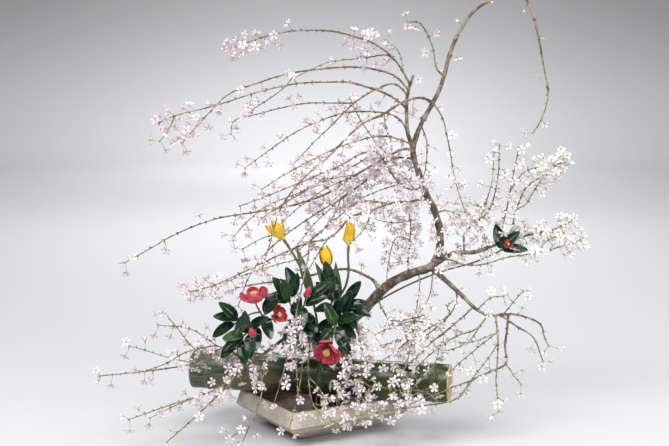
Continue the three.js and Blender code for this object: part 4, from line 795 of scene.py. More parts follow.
LIMB = [
    # The trunk, from the needle holder up to the first forks.
    twig(14, 9.5, "-----------", foot(38, 46), (344, 345, 40), (352.9, 319.8, 34),
         (362.8, 310.6, 30), (372, 300.6, 26), (392.7, 282, 16), (415.6, 272, 5), (427, 268.5, 0),
         (439.4, 260, -4)),
    # The limb that rises and arches over to the right.
    twig(9, 5.5, "-1-1-1-1", (436, 262, -4), (440, 245, -2), (439, 226, 0), (433, 207, 4),
         (426, 194, 6), (419.5, 175, 8), (413, 152, 10), (417, 134, 14), (423, 120, 18)),
    twig(5.5, 1.2, "11b1-b-b--b-v-1v-11", (423, 120, 18), (431.6, 105, 22), (440, 88, 26),
         (445, 72, 28), (450.5, 52, 32), (461, 29, 38), (473, 12, 44), (490, 0, 52),
         (508, -10, 60), (522, -6, 64), (533, 15, 68), (543.5, 65, 72), (548, 96, 72),
         (540, 122, 68), (533, 133, 66)),
    twig(5, 3, "-1-1", (412, 148, 10), (408, 134, 2), (406.6, 112, -4), (407.5, 95, -8),
         (412.7, 77, -12)),
    # The fork to the right.
    twig(6, 1.6, "-1-1--11121", (437, 261, -4), (454, 253, 4), (474.6, 252, 16), (495, 245, 28),
         (518.7, 237, 38), (549, 231, 48), (559.5, 227, 52), (572, 221, 56)),
    # The fork that comes down in front.
    twig(6.5, 3, "--1-11", (430, 267, -2), (443.7, 278.6, -12), (462.6, 296, -32), (476, 309, -44),
         (488, 315, -54), (500.5, 315, -62)),
    twig(3, 1.4, "1-12", (500.5, 315, -62), (512.5, 314, -68), (540, 324, -80), (545, 339, -84),
         (548.7, 346, -86)),
    twig(2.4, 1.2, "-12", (500.5, 315, -62), (517.7, 327, -80), (533, 337, -92), (543, 361, -98)),
    # Short twigs off the limb.
    twig(2, 1.2, "112", (427, 127, 16), (427, 150, 4), (425.5, 169, -8), (423, 178, -12)),
    twig(2, 1.2, "21", (439, 212, 2), (448, 210.6, -10), (468, 220, -18)),
    twig(1.8, 1.1, "12", (420, 271, 4), (419.5, 289, -8), (416, 310.6, -16)),
    twig(1.8, 1.1, "121", (433, 268, -2), (432, 282, -20), (429, 297, -34), (418, 316, -48)),
    twig(1.6, 1, "12", (504, 315, -63), (512.5, 303, -72), (523, 291, -78)),
    twig(1.6, 1, "12", (478, 310, -46), (490, 298, -38), (504, 296, -32)),
    twig(2.2, 1.2, "-1212", (376, 296, 22), (381, 306, 2), (388, 318, -14), (397, 321, -24),
         (425, 315, -38)),
    twig(2.2, 1.2, "--1121", (356, 316, 33), (358, 330, -14), (361, 345, -74), (361.7, 353, -100),
         (364, 387, -118), (367, 401, -124)),
    twig(2.2, 1.2, "--1211", (350, 325, 36), (346, 338, -20), (345, 354, -86), (341, 376, -112),
         (336, 400, -124)),
]

# Thin twigs that hang from the limb in front of the bamboo.
LIMB_HANGING = [
    twig(1.3, 0.9, "-1-1-12", (416, 310.6, -16), (413, 325, -60), (411.5, 339, -96),
         (407, 362, -128), (401.6, 375, -140), (389, 389, -150)),
    twig(1.2, 0.9, "-1-1", (411.5, 339, -96), (403, 345, -108), (392.4, 354, -118),
         (381, 361, -126)),
    twig(1.1, 0.9, "--1", (411.5, 338, -95), (395, 342, -104), (381, 345.5, -110)),
]

plan_cherry("cherry_limb", LIMB)
draw = np.random.default_rng(11)
limb_wood, limb_line = Shape(), []
for order, part in enumerate(LIMB):
    limb_line.extend(grow_wood(limb_wood, part, order, limb_line or None, draw, LIMB_SLIM))
for order, part in enumerate(LIMB_HANGING):
    lay(part, limb_line)
    limb_line.extend(grow_wood(limb_wood, part, order, limb_line, draw, LIMB_SLIM))
place("cherry_limb_wood", limb_wood, [bark], "cherry_limb")

# ------------------------------------------------------------------ low cherry branch
# A thinner branch from the same tree stands behind the bamboo, leans forward over it and hangs
# in front of the bowl.

LOW_BRANCH = [
    twig(5, 2.4, "------1-1221", foot(-16, 36), (314, 344, 34), (308, 334, 12), (300, 331, -18),
         (290, 334, -50), (277, 344, -80), (258, 358, -108), (240, 371, -124), (226, 384, -136)),
    twig(1.6, 1, "-12", (283, 341, -72), (286.5, 359, -120), (279.6, 385, -140),
         (274, 403.5, -150)),
    twig(1.8, 1, "--1112", (300, 332, -30), (303, 345, -100), (301, 376, -150), (297, 399, -176),
         (289, 429, -206)),
    twig(1.8, 1, "--1121", (308, 334, -4), (310, 345, -70), (308, 370, -130), (313.5, 405, -170),
         (326, 418, -186)),
    twig(1.4, 1, "12", (309, 378, -140), (320, 390, -150), (331, 421, -166)),
    twig(1.8, 1, "-1-122", (255, 360, -112), (262, 380, -150), (260, 401, -176), (248.6, 428, -200),
         (243, 441, -206)),
    twig(1.2, 1, "2", (249, 428, -200), (232, 436, -204)),
]

plan_cherry("low_branch", LOW_BRANCH)
low_wood, low_line = Shape(), []
for order, part in enumerate(LOW_BRANCH):
    low_line.extend(grow_wood(low_wood, part, order, low_line or None, draw, LOW_SLIM))
place("low_branch_wood", low_wood, [bark], "low_branch")

# ------------------------------------------------------------------ camellias
# Three cut camellias with leathery leaves stand in front, and a small one at the right. An open
# bloom has broad satin petals round a column of stamens that are grown together at the foot.

LEAF_LENGTH, LEAF_HALF, LEAF_THICK, LEAF_ARCH, PETIOLE = 56.0, 13.4, 0.55, 8.0, 1.3
STEM_RADII, SHOOT_RADII, NECK, BLOOM_RADIUS, BUD_RADIUS = (2.6, 1.8), (1.9, 1.5), 9.0, 33.0, 7.3
PETAL_THICK, SEPAL_THICK, SEPALS, FILAMENTS, FULL_TURN = 0.5, 0.6, 7, 64, 6.28
CAMELLIA_RUFFLE, SCALE_RUFFLE = 1.7, 0.1
LEAF_DEEP, LEAF_FRESH = (0.001, 0.011, 0.005), (0.004, 0.036, 0.011)
LEAF_YOUNG, LEAF_RIB = (0.050, 0.115, 0.022), (0.12, 0.19, 0.07)
LEAF_BACK, BACK_DEEP, BACK_RIB = (0.075, 0.155, 0.035), (0.06, 0.12, 0.03), (0.26, 0.32, 0.13)
STEM_BROWN, STEM_GREEN = (0.17, 0.125, 0.075), (0.12, 0.115, 0.05)
CRIMSON, CRIMSON_DEEP = (0.46, 0.012, 0.040), (0.22, 0.004, 0.016)
CRIMSON_PALE, SMALL_BLOOM = (0.66, 0.085, 0.14), 0.5
FILAMENT_FOOT, FILAMENT_TOP = (0.78, 0.56, 0.34), (0.88, 0.80, 0.50)
POLLEN_GOLD, POLLEN_PALE = (0.80, 0.50, 0.12), (0.93, 0.74, 0.34)

camellia_leaf, wire = paint("camellia_leaf")
up_leaf, out_leaf, age = wire.marks()
mottle = wire.noise(wire.spot(), 0.05, 4.0)
from_rib = abs(out_leaf)
veins = (up_leaf * 62.0 - from_rib * 17.0).sine().rise(0.86, 1.0)
veins = veins * (1.0 - from_rib.rise(0.55, 0.9))
rib = 1.0 - from_rib.rise(0.035, 0.085)
face = wire.mixed(mottle.rise(0.35, 0.7), LEAF_DEEP, LEAF_FRESH)
face = wire.mixed(age.rise(0.78, 0.98) * 0.8, face, LEAF_YOUNG)
face = wire.mixed(veins * 0.14, face, LEAF_RIB)
face = wire.mixed(rib * 0.17, face, LEAF_RIB)
face = wire.mixed(from_rib.rise(0.93, 1.0) * 0.5, face, LEAF_BACK)
coat(wire, {
    "Base Color": face,
    "Roughness": 0.12 + mottle * 0.12,
    "Specular IOR Level": 0.3,
    "Coat Weight": 0.24,
    "Coat Roughness": 0.04,
    "Normal": wire.bump(veins * -0.5 - rib * 0.6 + mottle * 0.5, 0.4, 0.5),
})
leaf_back, wire = paint("camellia_leaf_back")
_, out_leaf, _ = wire.marks()
mottle = wire.noise(wire.spot(), 0.06, 4.0)
rib = 1.0 - abs(out_leaf).rise(0.04, 0.1)
back = wire.mixed(mottle.rise(0.35, 0.7), LEAF_BACK, BACK_DEEP)
coat(wire, {
    "Base Color": wire.mixed(rib * 0.8, back, BACK_RIB),
    "Roughness": 0.5 + mottle * 0.15,
    "Normal": wire.bump(rib * 0.9 + mottle * 0.4, 0.4, 0.5),
})
camellia_wood, wire = paint("camellia_stem")
streak = wire.noise(wire.spot(), 0.12, 5.0)
coat(wire, {
    "Base Color": wire.mixed(streak.rise(0.4, 0.62), STEM_BROWN, STEM_GREEN),
    "Roughness": 0.5 + streak * 0.2,
    "Normal": wire.bump(streak, 0.4, 0.4),
})
crimson, wire = paint("camellia_petal")
up_petal, out_petal, _ = wire.marks()
flow = wire.noise(wire.spot(), 0.09, 5.0, 0.6)
rays = (out_petal * 46.0 + flow * 4.0).sine()
colour = wire.mixed(flow.rise(0.38, 0.66) * 0.6, CRIMSON, CRIMSON_PALE)
colour = wire.mixed((1.0 - up_petal.rise(0.12, 0.5)) * 0.8, colour, CRIMSON_DEEP)
colour = wire.mixed(rays.rise(0.5, 1.0) * 0.22, colour, CRIMSON_DEEP)
colour = wire.mixed(abs(out_petal).rise(0.85, 1.0) * 0.25, colour, CRIMSON_PALE)
coat(wire, {
    "Base Color": colour,
    "Roughness": 0.42 + flow * 0.2,
    "Sheen Weight": 0.35,
    "Sheen Roughness": 0.4,
    "Subsurface Weight": 0.12,
    "Subsurface Radius": (0.004, 0.001, 0.001),
    "Normal": wire.bump(rays * 0.25 + flow * 0.8, 0.35, 0.6),
})
filament, wire = paint("stamen_filament")
up_stamen, _, _ = wire.marks()
coat(wire, {
    "Base Color": wire.mixed(up_stamen.rise(0.1, 0.8), FILAMENT_FOOT, FILAMENT_TOP),
    "Roughness": 0.55,
    "Subsurface Weight": 0.1,
})
pollen, wire = paint("stamen_pollen")
dust = wire.noise(wire.spot(), 2.4, 3.0)
coat(wire, {
    "Base Color": wire.mixed(dust.rise(0.35, 0.7), POLLEN_GOLD, POLLEN_PALE),
    "Roughness": 0.85,
    "Normal": wire.bump(dust, 0.5, 0.3),
})

CAMELLIA_STEMS = {
    "camellia_left": {
        "steps": 10,
        "stops": [
            foot(-4, 28), (319, 345, 28), (312, 330, 4), (298, 322, -34), (280, 320, -72),
            (264, 317, -96),
        ],
        "shoots": [
            [(266, 318, -98), (256, 326, -110), (246, 334, -118), (238, 340, -122)],
            [(262, 314, -102), (250, 314, -108), (240, 320, -106), (234, 324, -104)],
        ],
        "leaves": [
            [(266, 314, -100), (277, 292, -94)], [(263, 316, -104), (270, 336, -124)],
            [(251, 316, -110), (239, 329, -136)], [(257, 326, -112), (256, 348, -138)],
            [(246, 335, -120), (230, 346, -130)], [(241, 319, -107), (217, 317, -116)],
            [(234, 325, -104), (214, 336, -106)], [(238, 341, -123), (222, 357, -134)],
            [(250, 332, -117), (250, 359, -148)],
        ],
        "bloom": {"base": (255.5, 302, -116), "face": (252, 291, -140), "size": 1},
        "gaze": (252.5, 287, -121),
        "bud": {"base": (254, 337, -139), "face": (250, 328, -153)},
    },
    "camellia_middle": {
        "steps": 9,
        "stops": [
            foot(9, 26), (325, 340, 24), (320, 326, 0), (308, 322, -40), (298, 320, -70),
            (284, 320, -82),
        ],
        "shoots": [
            [(294, 320, -74), (292, 308, -82), (289, 300, -88)],
            [(300, 320, -66), (303, 309, -76), (305, 301, -82)],
        ],
        "leaves": [
            [(300, 321, -72), (308, 342, -96)], [(289, 301, -90), (281, 279, -104)],
            [(288, 303, -86), (273, 277, -88)], [(291, 303, -84), (298, 273, -88)],
            [(304, 307, -77), (321, 299, -90)],
        ],
        "bloom": {"base": (275.5, 315, -106), "face": (288, 313, -134), "size": 0.68},
        "bud": {"base": (306, 298, -84), "face": (310, 286, -92)},
    },
    "camellia_front": {
        "steps": 9,
        "stops": [foot(22, 24), (332, 338, 22), (336, 322, 0), (337, 322, -50), (333, 336, -78)],
        "shoots": [
            [(337, 321, -20), (335, 309, -24), (333, 295, -30)],
            [(337, 321, -38), (341, 313, -33), (344, 306, -27)],
        ],
        "leaves": [
            [(332, 301, -28), (318, 285, -30)], [(333, 294, -31), (321, 272, -44)],
            [(345, 305, -27), (361, 281, -32)], [(344, 308, -28), (369, 303, -38)],
            [(341, 313, -34), (351, 291, -46)], [(336, 326, -60), (326, 306, -64)],
        ],
        "bloom": {"base": (329, 348, -96), "face": (325, 356, -124), "size": 1},
    },
    "camellia_right": {
        "steps": 11,
        "stops": [
            foot(26, 70), (343, 335, 72), (356, 322, 70), (376, 303, 64), (404, 287, 56),
            (440, 272, 50), (475, 262, 40), (498, 252, 22),
        ],
        "shoots": [],
        "leaves": [[(500, 251, 21), (496, 226, 24)], [(504, 252, 12), (528, 250, 2)]],
        "bloom": {"base": (507.5, 245.5, 5), "face": (511, 241, -14), "size": 0.36},
    },
}

# Small leaves between the larger ones: the twig point that each grows from, and its tip.
MORE_LEAVES = {
    "camellia_left": [
        [(240, 322, -106), (223, 306, -114)], [(247, 335, -120), (245, 318, -134)],
        [(250, 331, -118), (263, 320, -136)], [(246, 335, -120), (226, 339, -148)],
        [(264, 314, -102), (275, 305, -118)], [(238, 340, -122), (244, 359, -136)],
    ],
    "camellia_middle": [
        [(289, 302, -88), (263, 297, -104)], [(292, 306, -84), (281, 282, -112)],
        [(303, 309, -76), (286, 267, -84)], [(305, 301, -82), (331, 281, -76)],
        [(304, 307, -78), (302, 322, -104)], [(300, 320, -66), (297, 339, -92)],
        [(303, 310, -74), (315, 330, -96)], [(298, 320, -70), (284, 341, -96)],
        [(294, 318, -76), (300, 300, -96)], [(298, 322, -72), (290, 352, -112)],
        [(300, 321, -72), (303, 352, -116)], [(298, 320, -70), (311, 336, -100)],
        [(308, 322, -40), (320, 345, -70)], [(304, 321, -52), (310, 322, -86)],
    ],
    "camellia_front": [
        [(333, 295, -30), (325, 261, -42)], [(334, 300, -28), (335, 283, -8)],
        [(344, 306, -27), (351, 320, -52)], [(336, 316, -20), (340, 300, -52)],
        [(336, 322, -52), (342, 341, -76)], [(335, 309, -24), (319, 310, -56)],
        [(344, 306, -27), (371, 315, -34)], [(336, 322, -30), (318, 330, -52)],
        [(337, 320, -30), (350, 334, -40)], [(336, 324, -64), (321, 341, -80)],
        [(334, 333, -76), (347, 350, -84)], [(337, 322, -48), (352, 318, -64)],
    ],
    "camellia_right": [[(502, 251, 16), (519, 232, 12)]],
}


def roots_along(stations):
    """Points along a stem, short of its end, that stalks may grow from."""
    parts = np.array([0.0, 0.25, 0.5, 0.75])[:, None]
    return np.concatenate([a + (b - a) * parts for a, b in zip(stations, stations[1:])])


def plan_camellia(owner, plan):
    """Finds where a stem and its shoots run, and claims the room of all that they carry."""
    bloom = plan["bloom"]
    base = seen(bloom["base"])
    axis = unit(seen(bloom["face"]) - base)
    end = base - axis * (3 * bloom["size"] + 0.9)
    plan["stops"] = [*plan["stops"], end - axis * NECK]
    plan["stations"] = np.vstack([route(plan["stops"], plan["steps"]), end])
    room.claim_route(owner, plan["stations"], STEM_RADII)
    stem_roots = roots_along(plan["stations"])
    plan["shoot_stations"] = []
    for stops in plan["shoots"]:
        stations = route(stops, len(stops) - 1)
        stations[0] = nearest(stem_roots, stations[0])
        room.claim_route(owner, stations, SHOOT_RADII)
        plan["shoot_stations"].append(stations)
    plan["roots"] = np.concatenate([stem_roots, *map(roots_along, plan["shoot_stations"])])
    for stalk, tip in plan["leaves"]:
        room.claim_line(owner, seen(stalk), seen(tip), 8.0)
    room.claim(owner, base + axis * 14 * bloom["size"], BLOOM_RADIUS * bloom["size"] * 1.05)
    if "bud" in plan:
        room.claim_line(owner, seen(plan["bud"]["base"]), seen(plan["bud"]["face"]), 9.0)


def row_marks(part, columns, shade):
    """The marks of a row of a petal or leaf: how far up, how far out, and a shade."""
    return np.column_stack([np.full(len(columns), part), columns, np.full(len(columns), shade)])


def leaf_blade(shape, root, target, draw):
    """A pointed oval leaf, folded along its rib and arched, with a waved and toothed edge."""
    along = unit(target - root)
    reach = max(np.linalg.norm(target - root), LEAF_LENGTH + 3 * PETIOLE)
    up = square_to(along, np.array([0.0, -0.75, 0.65]))
    side = np.cross(along, up)
    start = reach - LEAF_LENGTH
    phase, curl = draw.uniform(0, FULL_TURN), draw.uniform(-0.6, 0.9)
    rows, marks = [], []
    columns = np.linspace(-1, 1, 11)
    for part in np.linspace(0.0, 1.0, 23):
        oval = math.sin(math.pi * part ** 0.90) ** 0.62 * (1 - 0.10 * part)
        width = LEAF_HALF * max(oval, 0.045)
        width *= 1 + 0.018 * math.sin(part * 88)
        arch = LEAF_ARCH * (1 - part) * min(1.0, part / 0.3) ** 0.8
        droop = curl * 6.0 * max(part - 0.6, 0) ** 2 * 6
        wave = 0.9 * math.sin(part * 9 + phase)
        fold = np.abs(columns) ** 1.25 * width * 0.26 + wave * columns ** 2 * np.sign(columns) * 0.6
        crease = -0.35 * np.exp(-(columns / 0.10) ** 2) * math.sin(math.pi * part)
        centre = root + along * (start + LEAF_LENGTH * part) + up * (arch - droop)
        rows.append(centre + np.outer(columns * width, side) + np.outer(fold + crease, up))
        marks.append(row_marks(part, columns, phase / FULL_TURN))
    shape.sheet(rows, up, LEAF_THICK, marks, 0, 1)
    stalk = np.array([root + along * (start * part + 1.0) for part in np.linspace(0, 1, 7)])
    radii = PETIOLE * np.array([1.15, 1.0, 0.9, 0.85, 0.85, 0.8, 0.6])
    shape.skin(sweep(stalk, radii, 8), 0.0, 2)


def petal_rows(base, axis, angle, profile, size, columns, draw, rows, ruffle, pointed=0.0):
    """A petal from the heart of its flower, along a profile of (out, up, half width, lift)."""
    profile = np.array(profile, float)
    reach = reach_along(profile[:, :2])
    share = reach / reach[-1]
    side_out = about(axis, square_to(axis, UP), angle)
    across = np.cross(axis, side_out)
    widest = profile[:, 2].max()
    at_widest = share[profile[:, 2].argmax()]
    phase = draw.uniform(0, FULL_TURN)
    points, marks = [], []
    for part in 1 - (1 - np.linspace(0, 1, rows)) ** 1.35:
        smooth = curve_point([np.array([*p[:2], 0.0]) for p in profile],
                             np.interp(part, share, np.linspace(0, 1, len(profile))))
        if part < at_widest:
            half = widest * (0.2 + 0.8 * math.sin(part / at_widest * math.pi / 2) ** 1.1)
        else:
            past = (part - at_widest) / (1.0 - at_widest)
            half = widest * math.sqrt(max(1 - past ** 2.2, 0.012))
        half *= 1 - pointed * max(part - at_widest, 0) / (1 - at_widest)
        lift = np.interp(part, share, profile[:, 3])
        out, rise = smooth[0] * size, smooth[1] * size
        wave = ruffle * size * part ** 2 * np.sin(columns * 5.0 + phase + part * 4)
        wave = wave * np.abs(columns)
        notch = -1.1 * size * (part > 0.985) * np.exp(-(columns / 0.3) ** 2) * min(ruffle, 1.8)
        centre = base + side_out * out + axis * rise
        turn = unit(axis * 0.8 - side_out * 0.6 * part)
        points.append(centre + np.outer(columns * half * size, across)
                      + np.outer(lift * size * columns ** 2 + wave, turn)
                      + np.outer(notch, side_out))
        marks.append(row_marks(part, columns, phase / FULL_TURN))
    return np.array(points), turn, np.array(marks)


CAMELLIA_OUTER = [(3, 1, 0, 0), (13, 2, 9.5, 1.5), (27, 10, 16, 4), (31, 24, 0, 0)]
CAMELLIA_INNER = [(3, 3, 0, 0), (10, 6, 8, 1.5), (22, 15, 14, 4), (24, 28, 0, 0)]
CAMELLIA_SEPAL = [(1.5, -3, 0, 0), (6, -1, 4.2, 1), (9.5, 1.4, 4, 1), (12, 4, 0, 0)]


def rod(start, way, profile, size, sides):
    """Rings of a straight round stem, from its profile of (height, radius)."""
    points = np.array([start + way * up * size for up, _ in profile])
    return sweep(points, [radius * size for _, radius in profile], sides)


def camellia_bloom(name, bloom, axis, draw):
    """Three outer petals, two or three inner ones, and the green sepals under them."""
    base, size = seen(bloom["base"]), bloom["size"]
    petals = Shape()
    inner = 3 if size > SMALL_BLOOM else 2
    for profile, turn, count in ((CAMELLIA_OUTER, 0.0, 3), (CAMELLIA_INNER, math.pi / 3, inner)):
        for k in range(count):
            angle = turn + k * 2 * math.pi / 3 + draw.uniform(-0.12, 0.12)
            petal_size = size * draw.uniform(0.92, 1.02)
            rows, away, marks = petal_rows(base, axis, angle, profile, petal_size,
                                           np.linspace(-1, 1, 13), draw, 15, CAMELLIA_RUFFLE)
            petals.sheet(rows, away, PETAL_THICK * size, marks)
    cup = rod(base, axis, [(-3, 1.6), (-1, 3.6), (1.5, 4.8), (4, 4.6), (5.5, 3.4)], size, 16)
    petals.skin(cup, 0.0, 1)
    for k in range(SEPALS):
        rows, away, marks = petal_rows(base, axis, k * 2 * math.pi / SEPALS, CAMELLIA_SEPAL, size,
                                       np.linspace(-1, 1, 7), draw, 7, SCALE_RUFFLE)
        petals.sheet(rows, away, SEPAL_THICK * size, marks, 1)
    place(f"{name}_bloom", petals, [crimson, camellia_wood], f"{name}_petals")


def stamen_column(name, bloom, axis, draw):
    """Filaments that spread from a tube, each with its grain of pollen."""
    base, size = seen(bloom["base"]), bloom["size"]
    brush = Shape()
    brush.skin(rod(base, axis, [(4.5, 3.4), (7, 3.7), (10, 4.2), (13, 4.6)], size, 20), 0.0)
    for i in range(FILAMENTS):
        out = math.sqrt((i + 0.5) / FILAMENTS)
        way = about(axis, square_to(axis, UP), i * GOLDEN_ANGLE)
        top = 19.5 + 3.0 * (1 - out) + draw.uniform(-1.2, 1.0)
        line = np.array([base + axis * up * size + way * spread * out * size
                         for up, spread in ((10, 4.0), (14.5, 4.9), (top, 7.4))])
        thread = sweep(line, [0.42 * size, 0.38 * size, 0.3 * size], 4)
        brush.skin(thread, [(0.1, 0, 0), (0.5, 0, 0), (1.0, 0, 0)])
        grain = [(-0.3, 0.3), (0.6, 0.85), (1.7, 0.8), (2.4, 0.3)]
        brush.skin(rod(line[-1], unit(line[-1] - line[-2]), grain, size, 5), (1.0, 0.0, 0.0), 1)
    place(f"{name}_stamen_column", brush, [filament, pollen], f"{name}_stamens")


def camellia_bud(name, bud, draw):
    """Scales overlap at the foot of a bud, and the rolled petals show above them."""
    base, tip = seen(bud["base"]), seen(bud["face"])
    axis, length = unit(tip - base), np.linalg.norm(tip - base)
    shape = Shape()
    parts = np.linspace(0.06, 0.985, 15)
    points = np.array([base + axis * length * part for part in parts])
    radii = []
    for part in parts:
        roll = 1 + 0.07 * part * np.sin(round_angles(20) * 3 + part * 5)
        radii.append(BUD_RADIUS * math.sin(math.pi * part ** 0.75) ** 0.75 * roll)
    marks = [(0.25 + 0.75 * part, 0.3, 0.5) for part in parts]
    shape.skin(sweep(points, radii, 20), marks, last=tip)
    for k in range(6):
        top = 6.5 + k % 3
        scale = [(1.2, 0.4, 0, 0), (5.6, 2.4, 4.0, 1.6), (7.7, top, 4.2, 1.6), (6.6, top + 4, 0, 0)]
        rows, away, marks = petal_rows(base, axis, k * GOLDEN_ANGLE, scale, 1.0,
                                       np.linspace(-1, 1, 7), draw, 8, SCALE_RUFFLE)
        shape.sheet(rows, away, PETAL_THICK, marks, 1)
    place(f"{name}_closed_bud", shape, [crimson, camellia_wood], f"{name}_bud")


for name, plan in CAMELLIA_STEMS.items():
    plan_camellia(name, plan)
draw = np.random.default_rng(23)
for name, plan in CAMELLIA_STEMS.items():
    shape = Shape()
    line = np.vstack([route(plan["stops"], plan["steps"] * 5, 24), plan["stations"][-1]])
    share = reach_along(line) / reach_along(line)[-1]
    radii = STEM_RADII[0] + (STEM_RADII[1] - STEM_RADII[0]) * share
    radii = radii * (1 + 0.06 * np.sin(share * 61))
    shape.skin(sweep(line, radii, 12, level=True), 0.0, 2)
    for stations in plan["shoot_stations"]:
        shoot = route(stations, 3 * len(stations), 12)
        radii = np.linspace(*SHOOT_RADII, len(shoot)) * (1 + 0.05 * np.sin(np.arange(len(shoot))))
        shape.skin(sweep(shoot, radii, 10), 0.0, 2)
    for stalk, tip in plan["leaves"] + MORE_LEAVES[name]:
        leaf_blade(shape, nearest(plan["roots"], seen(stalk)), seen(tip), draw)
    if "bud" in plan:
        base = seen(plan["bud"]["base"])
        end = base - unit(seen(plan["bud"]["face"]) - base) * 0.3
        root = nearest(plan["roots"], end)
        stalk = np.array([root + (end - root) * part for part in np.linspace(0, 1, 5)])
        shape.skin(sweep(stalk, np.linspace(1.8, 2.2, 5), 10), 0.0, 2)
    place(f"{name}_leafy_stem", shape, [camellia_leaf, leaf_back, camellia_wood],
          f"{name}_stem")
    bloom = plan["bloom"]
    axis = unit(seen(plan.get("gaze", bloom["face"])) - seen(bloom["base"]))
    camellia_bloom(name, bloom, axis, draw)
    stamen_column(name, bloom, axis, draw)
    if "bud" in plan:
        camellia_bud(name, plan["bud"], draw)

# ------------------------------------------------------------------ tulips
# Three yellow tulips stand behind the camellias, each a smooth stalk with one grey-green leaf.
# Two are closed, and the left one has opened to pointed petals.

TULIP_RADII, TULIP_STEPS, TULIP_LENGTH, TULIP_THICK, BLADE_THICK = (3.0, 2.6), 8, 50.0, 0.6, 0.8
TULIP_RUFFLE, TULIP_POINT = 0.35, 0.55
TULIP_OUTER = [(4, 3, 0, 0), (11, 11, 10.0, 3.5), (12, 32, 10.5, 4.5), (9, 53, 0, 0)]
TULIP_INNER = [(3, 5, 0, 0), (7.5, 12, 7.5, 1.5), (9.5, 32, 9.5, 2.5), (5.5, 50, 0, 0)]
TULIP_TALL = [(4, 3, 0, 0), (10.0, 10, 9.2, 3.2), (9.2, 32, 9.0, 3.6), (10.4, 56, 0, 0)]
TULIP_OPEN = [(4, 3, 0, 0), (12, 10, 8, 3.5), (19, 28, 9, 3), (26, 45, 0, 0)]
TULIP_YELLOW, TULIP_GOLD, TULIP_GREEN = (0.90, 0.62, 0.015), (0.80, 0.42, 0.01), (0.55, 0.58, 0.10)
STALK_GREEN, BLADE_GREEN, BLADE_GREY = (0.13, 0.20, 0.045), (0.075, 0.15, 0.055), (0.17, 0.25, 0.14)

tulip_petal, wire = paint("tulip_petal")
up_petal, out_petal, _ = wire.marks()
flow = wire.noise(wire.spot(), 0.08, 4.0)
rays = (out_petal * 60.0 + flow * 5.0).sine()
deeper = flow.rise(0.35, 0.7) * 0.6 + rays.rise(0.3, 1.0) * 0.25
colour = wire.mixed(deeper, TULIP_YELLOW, TULIP_GOLD)
colour = wire.mixed((1.0 - up_petal.rise(0.05, 0.3)) * 0.7, colour, TULIP_GREEN)
coat(wire, {
    "Base Color": colour,
    "Roughness": 0.36 + flow * 0.15,
    "Subsurface Weight": 0.15,
    "Subsurface Radius": (0.004, 0.003, 0.001),
    "Normal": wire.bump(rays * 0.3 + flow * 0.6, 0.3, 0.5),
})
tulip_green, wire = paint("tulip_green")
_, out_leaf, bladed = wire.marks()
streak = wire.noise(wire.spot(up=0.3), 0.35, 5.0)
lines = (out_leaf * 40.0).sine()
blade_colour = wire.mixed(streak.rise(0.35, 0.7), BLADE_GREEN, BLADE_GREY)
blade_colour = wire.mixed(lines.rise(0.4, 1.0) * 0.25, blade_colour, BLADE_GREY)
coat(wire, {
    "Base Color": wire.mixed(bladed, wire.mixed(streak, STALK_GREEN, BLADE_GREEN), blade_colour),
    "Roughness": 0.42 + streak * 0.2,
    "Normal": wire.bump(lines * 0.4 * bladed + streak * 0.6, 0.3, 0.4),
})

TULIPS = {
    "tulip_tall": {
        "stops": [
            foot(18, 62), (330, 325, 50), (337.6, 300.6, 24), (346, 285, 2), (348.7, 270, -14),
            (348, 257, -24), (348.6, 246, -28),
        ],
        "leaf": [(341, 295, 16), (335.5, 261.5, -2)],
        "face": (350.5, 221, -32),
        "outer": TULIP_TALL,
    },
    "tulip_middle": {
        "stops": [foot(6, 54), (325, 330, 46), (332, 300, 24), (332, 280, 2), (328.5, 269, -14)],
        "leaf": [(331, 296, 20), (315, 262, 6)],
        "face": (323, 244, -24),
        "outer": TULIP_OUTER,
    },
    "tulip_left": {
        "stops": [
            foot(-6, 46), (318, 330, 42), (312, 298, 18), (304, 275, -8), (295.5, 258, -26),
            (290, 249, -34), (284, 240, -40),
        ],
        "leaf": [(309, 288, 8), (296, 246, -12)],
        "face": (270, 220, -50),
        "outer": TULIP_OPEN,
    },
}


def plan_tulip(owner, plan):
    """Finds where a tulip stands and claims its room."""
    plan["stations"] = route(plan["stops"], TULIP_STEPS)
    plan["base"] = plan["stations"][-1]
    plan["axis"] = unit(seen(plan["face"]) - plan["base"])
    room.claim_route(owner, plan["stations"], TULIP_RADII)
    top = plan["base"] + plan["axis"] * TULIP_LENGTH
    room.claim_line(owner, plan["base"], top, 19.0 if plan["outer"] is TULIP_OPEN else 13.0)
    room.claim_line(owner, seen(plan["leaf"][0]), seen(plan["leaf"][1]), 7.0)


def tulip_blade(shape, root, high):
    """A long leaf, folded along its middle, which clasps the stalk at its foot."""
    along, length = unit(high - root), np.linalg.norm(high - root)
    up = square_to(along, np.array([0.2, -1.0, 0.2]))
    side = np.cross(along, up)
    columns = np.linspace(-1, 1, 11)
    rows, marks = [], []
    for part in np.linspace(0.01, 1.0, 25):
        half = 10.5 * max(math.sin(math.pi * part ** 0.72) ** 0.85, 0.04) + 1.6 * (1 - part) ** 4
        centre = root + along * length * part + up * 20 * part * (1 - part)
        fold = half * 0.35 * np.abs(columns) ** 1.6 * (1.4 - part)
        rows.append(centre + np.outer(columns * half, side) + np.outer(fold, up))
        marks.append(row_marks(part, columns, 1.0))
    shape.sheet(rows, up, BLADE_THICK, marks)


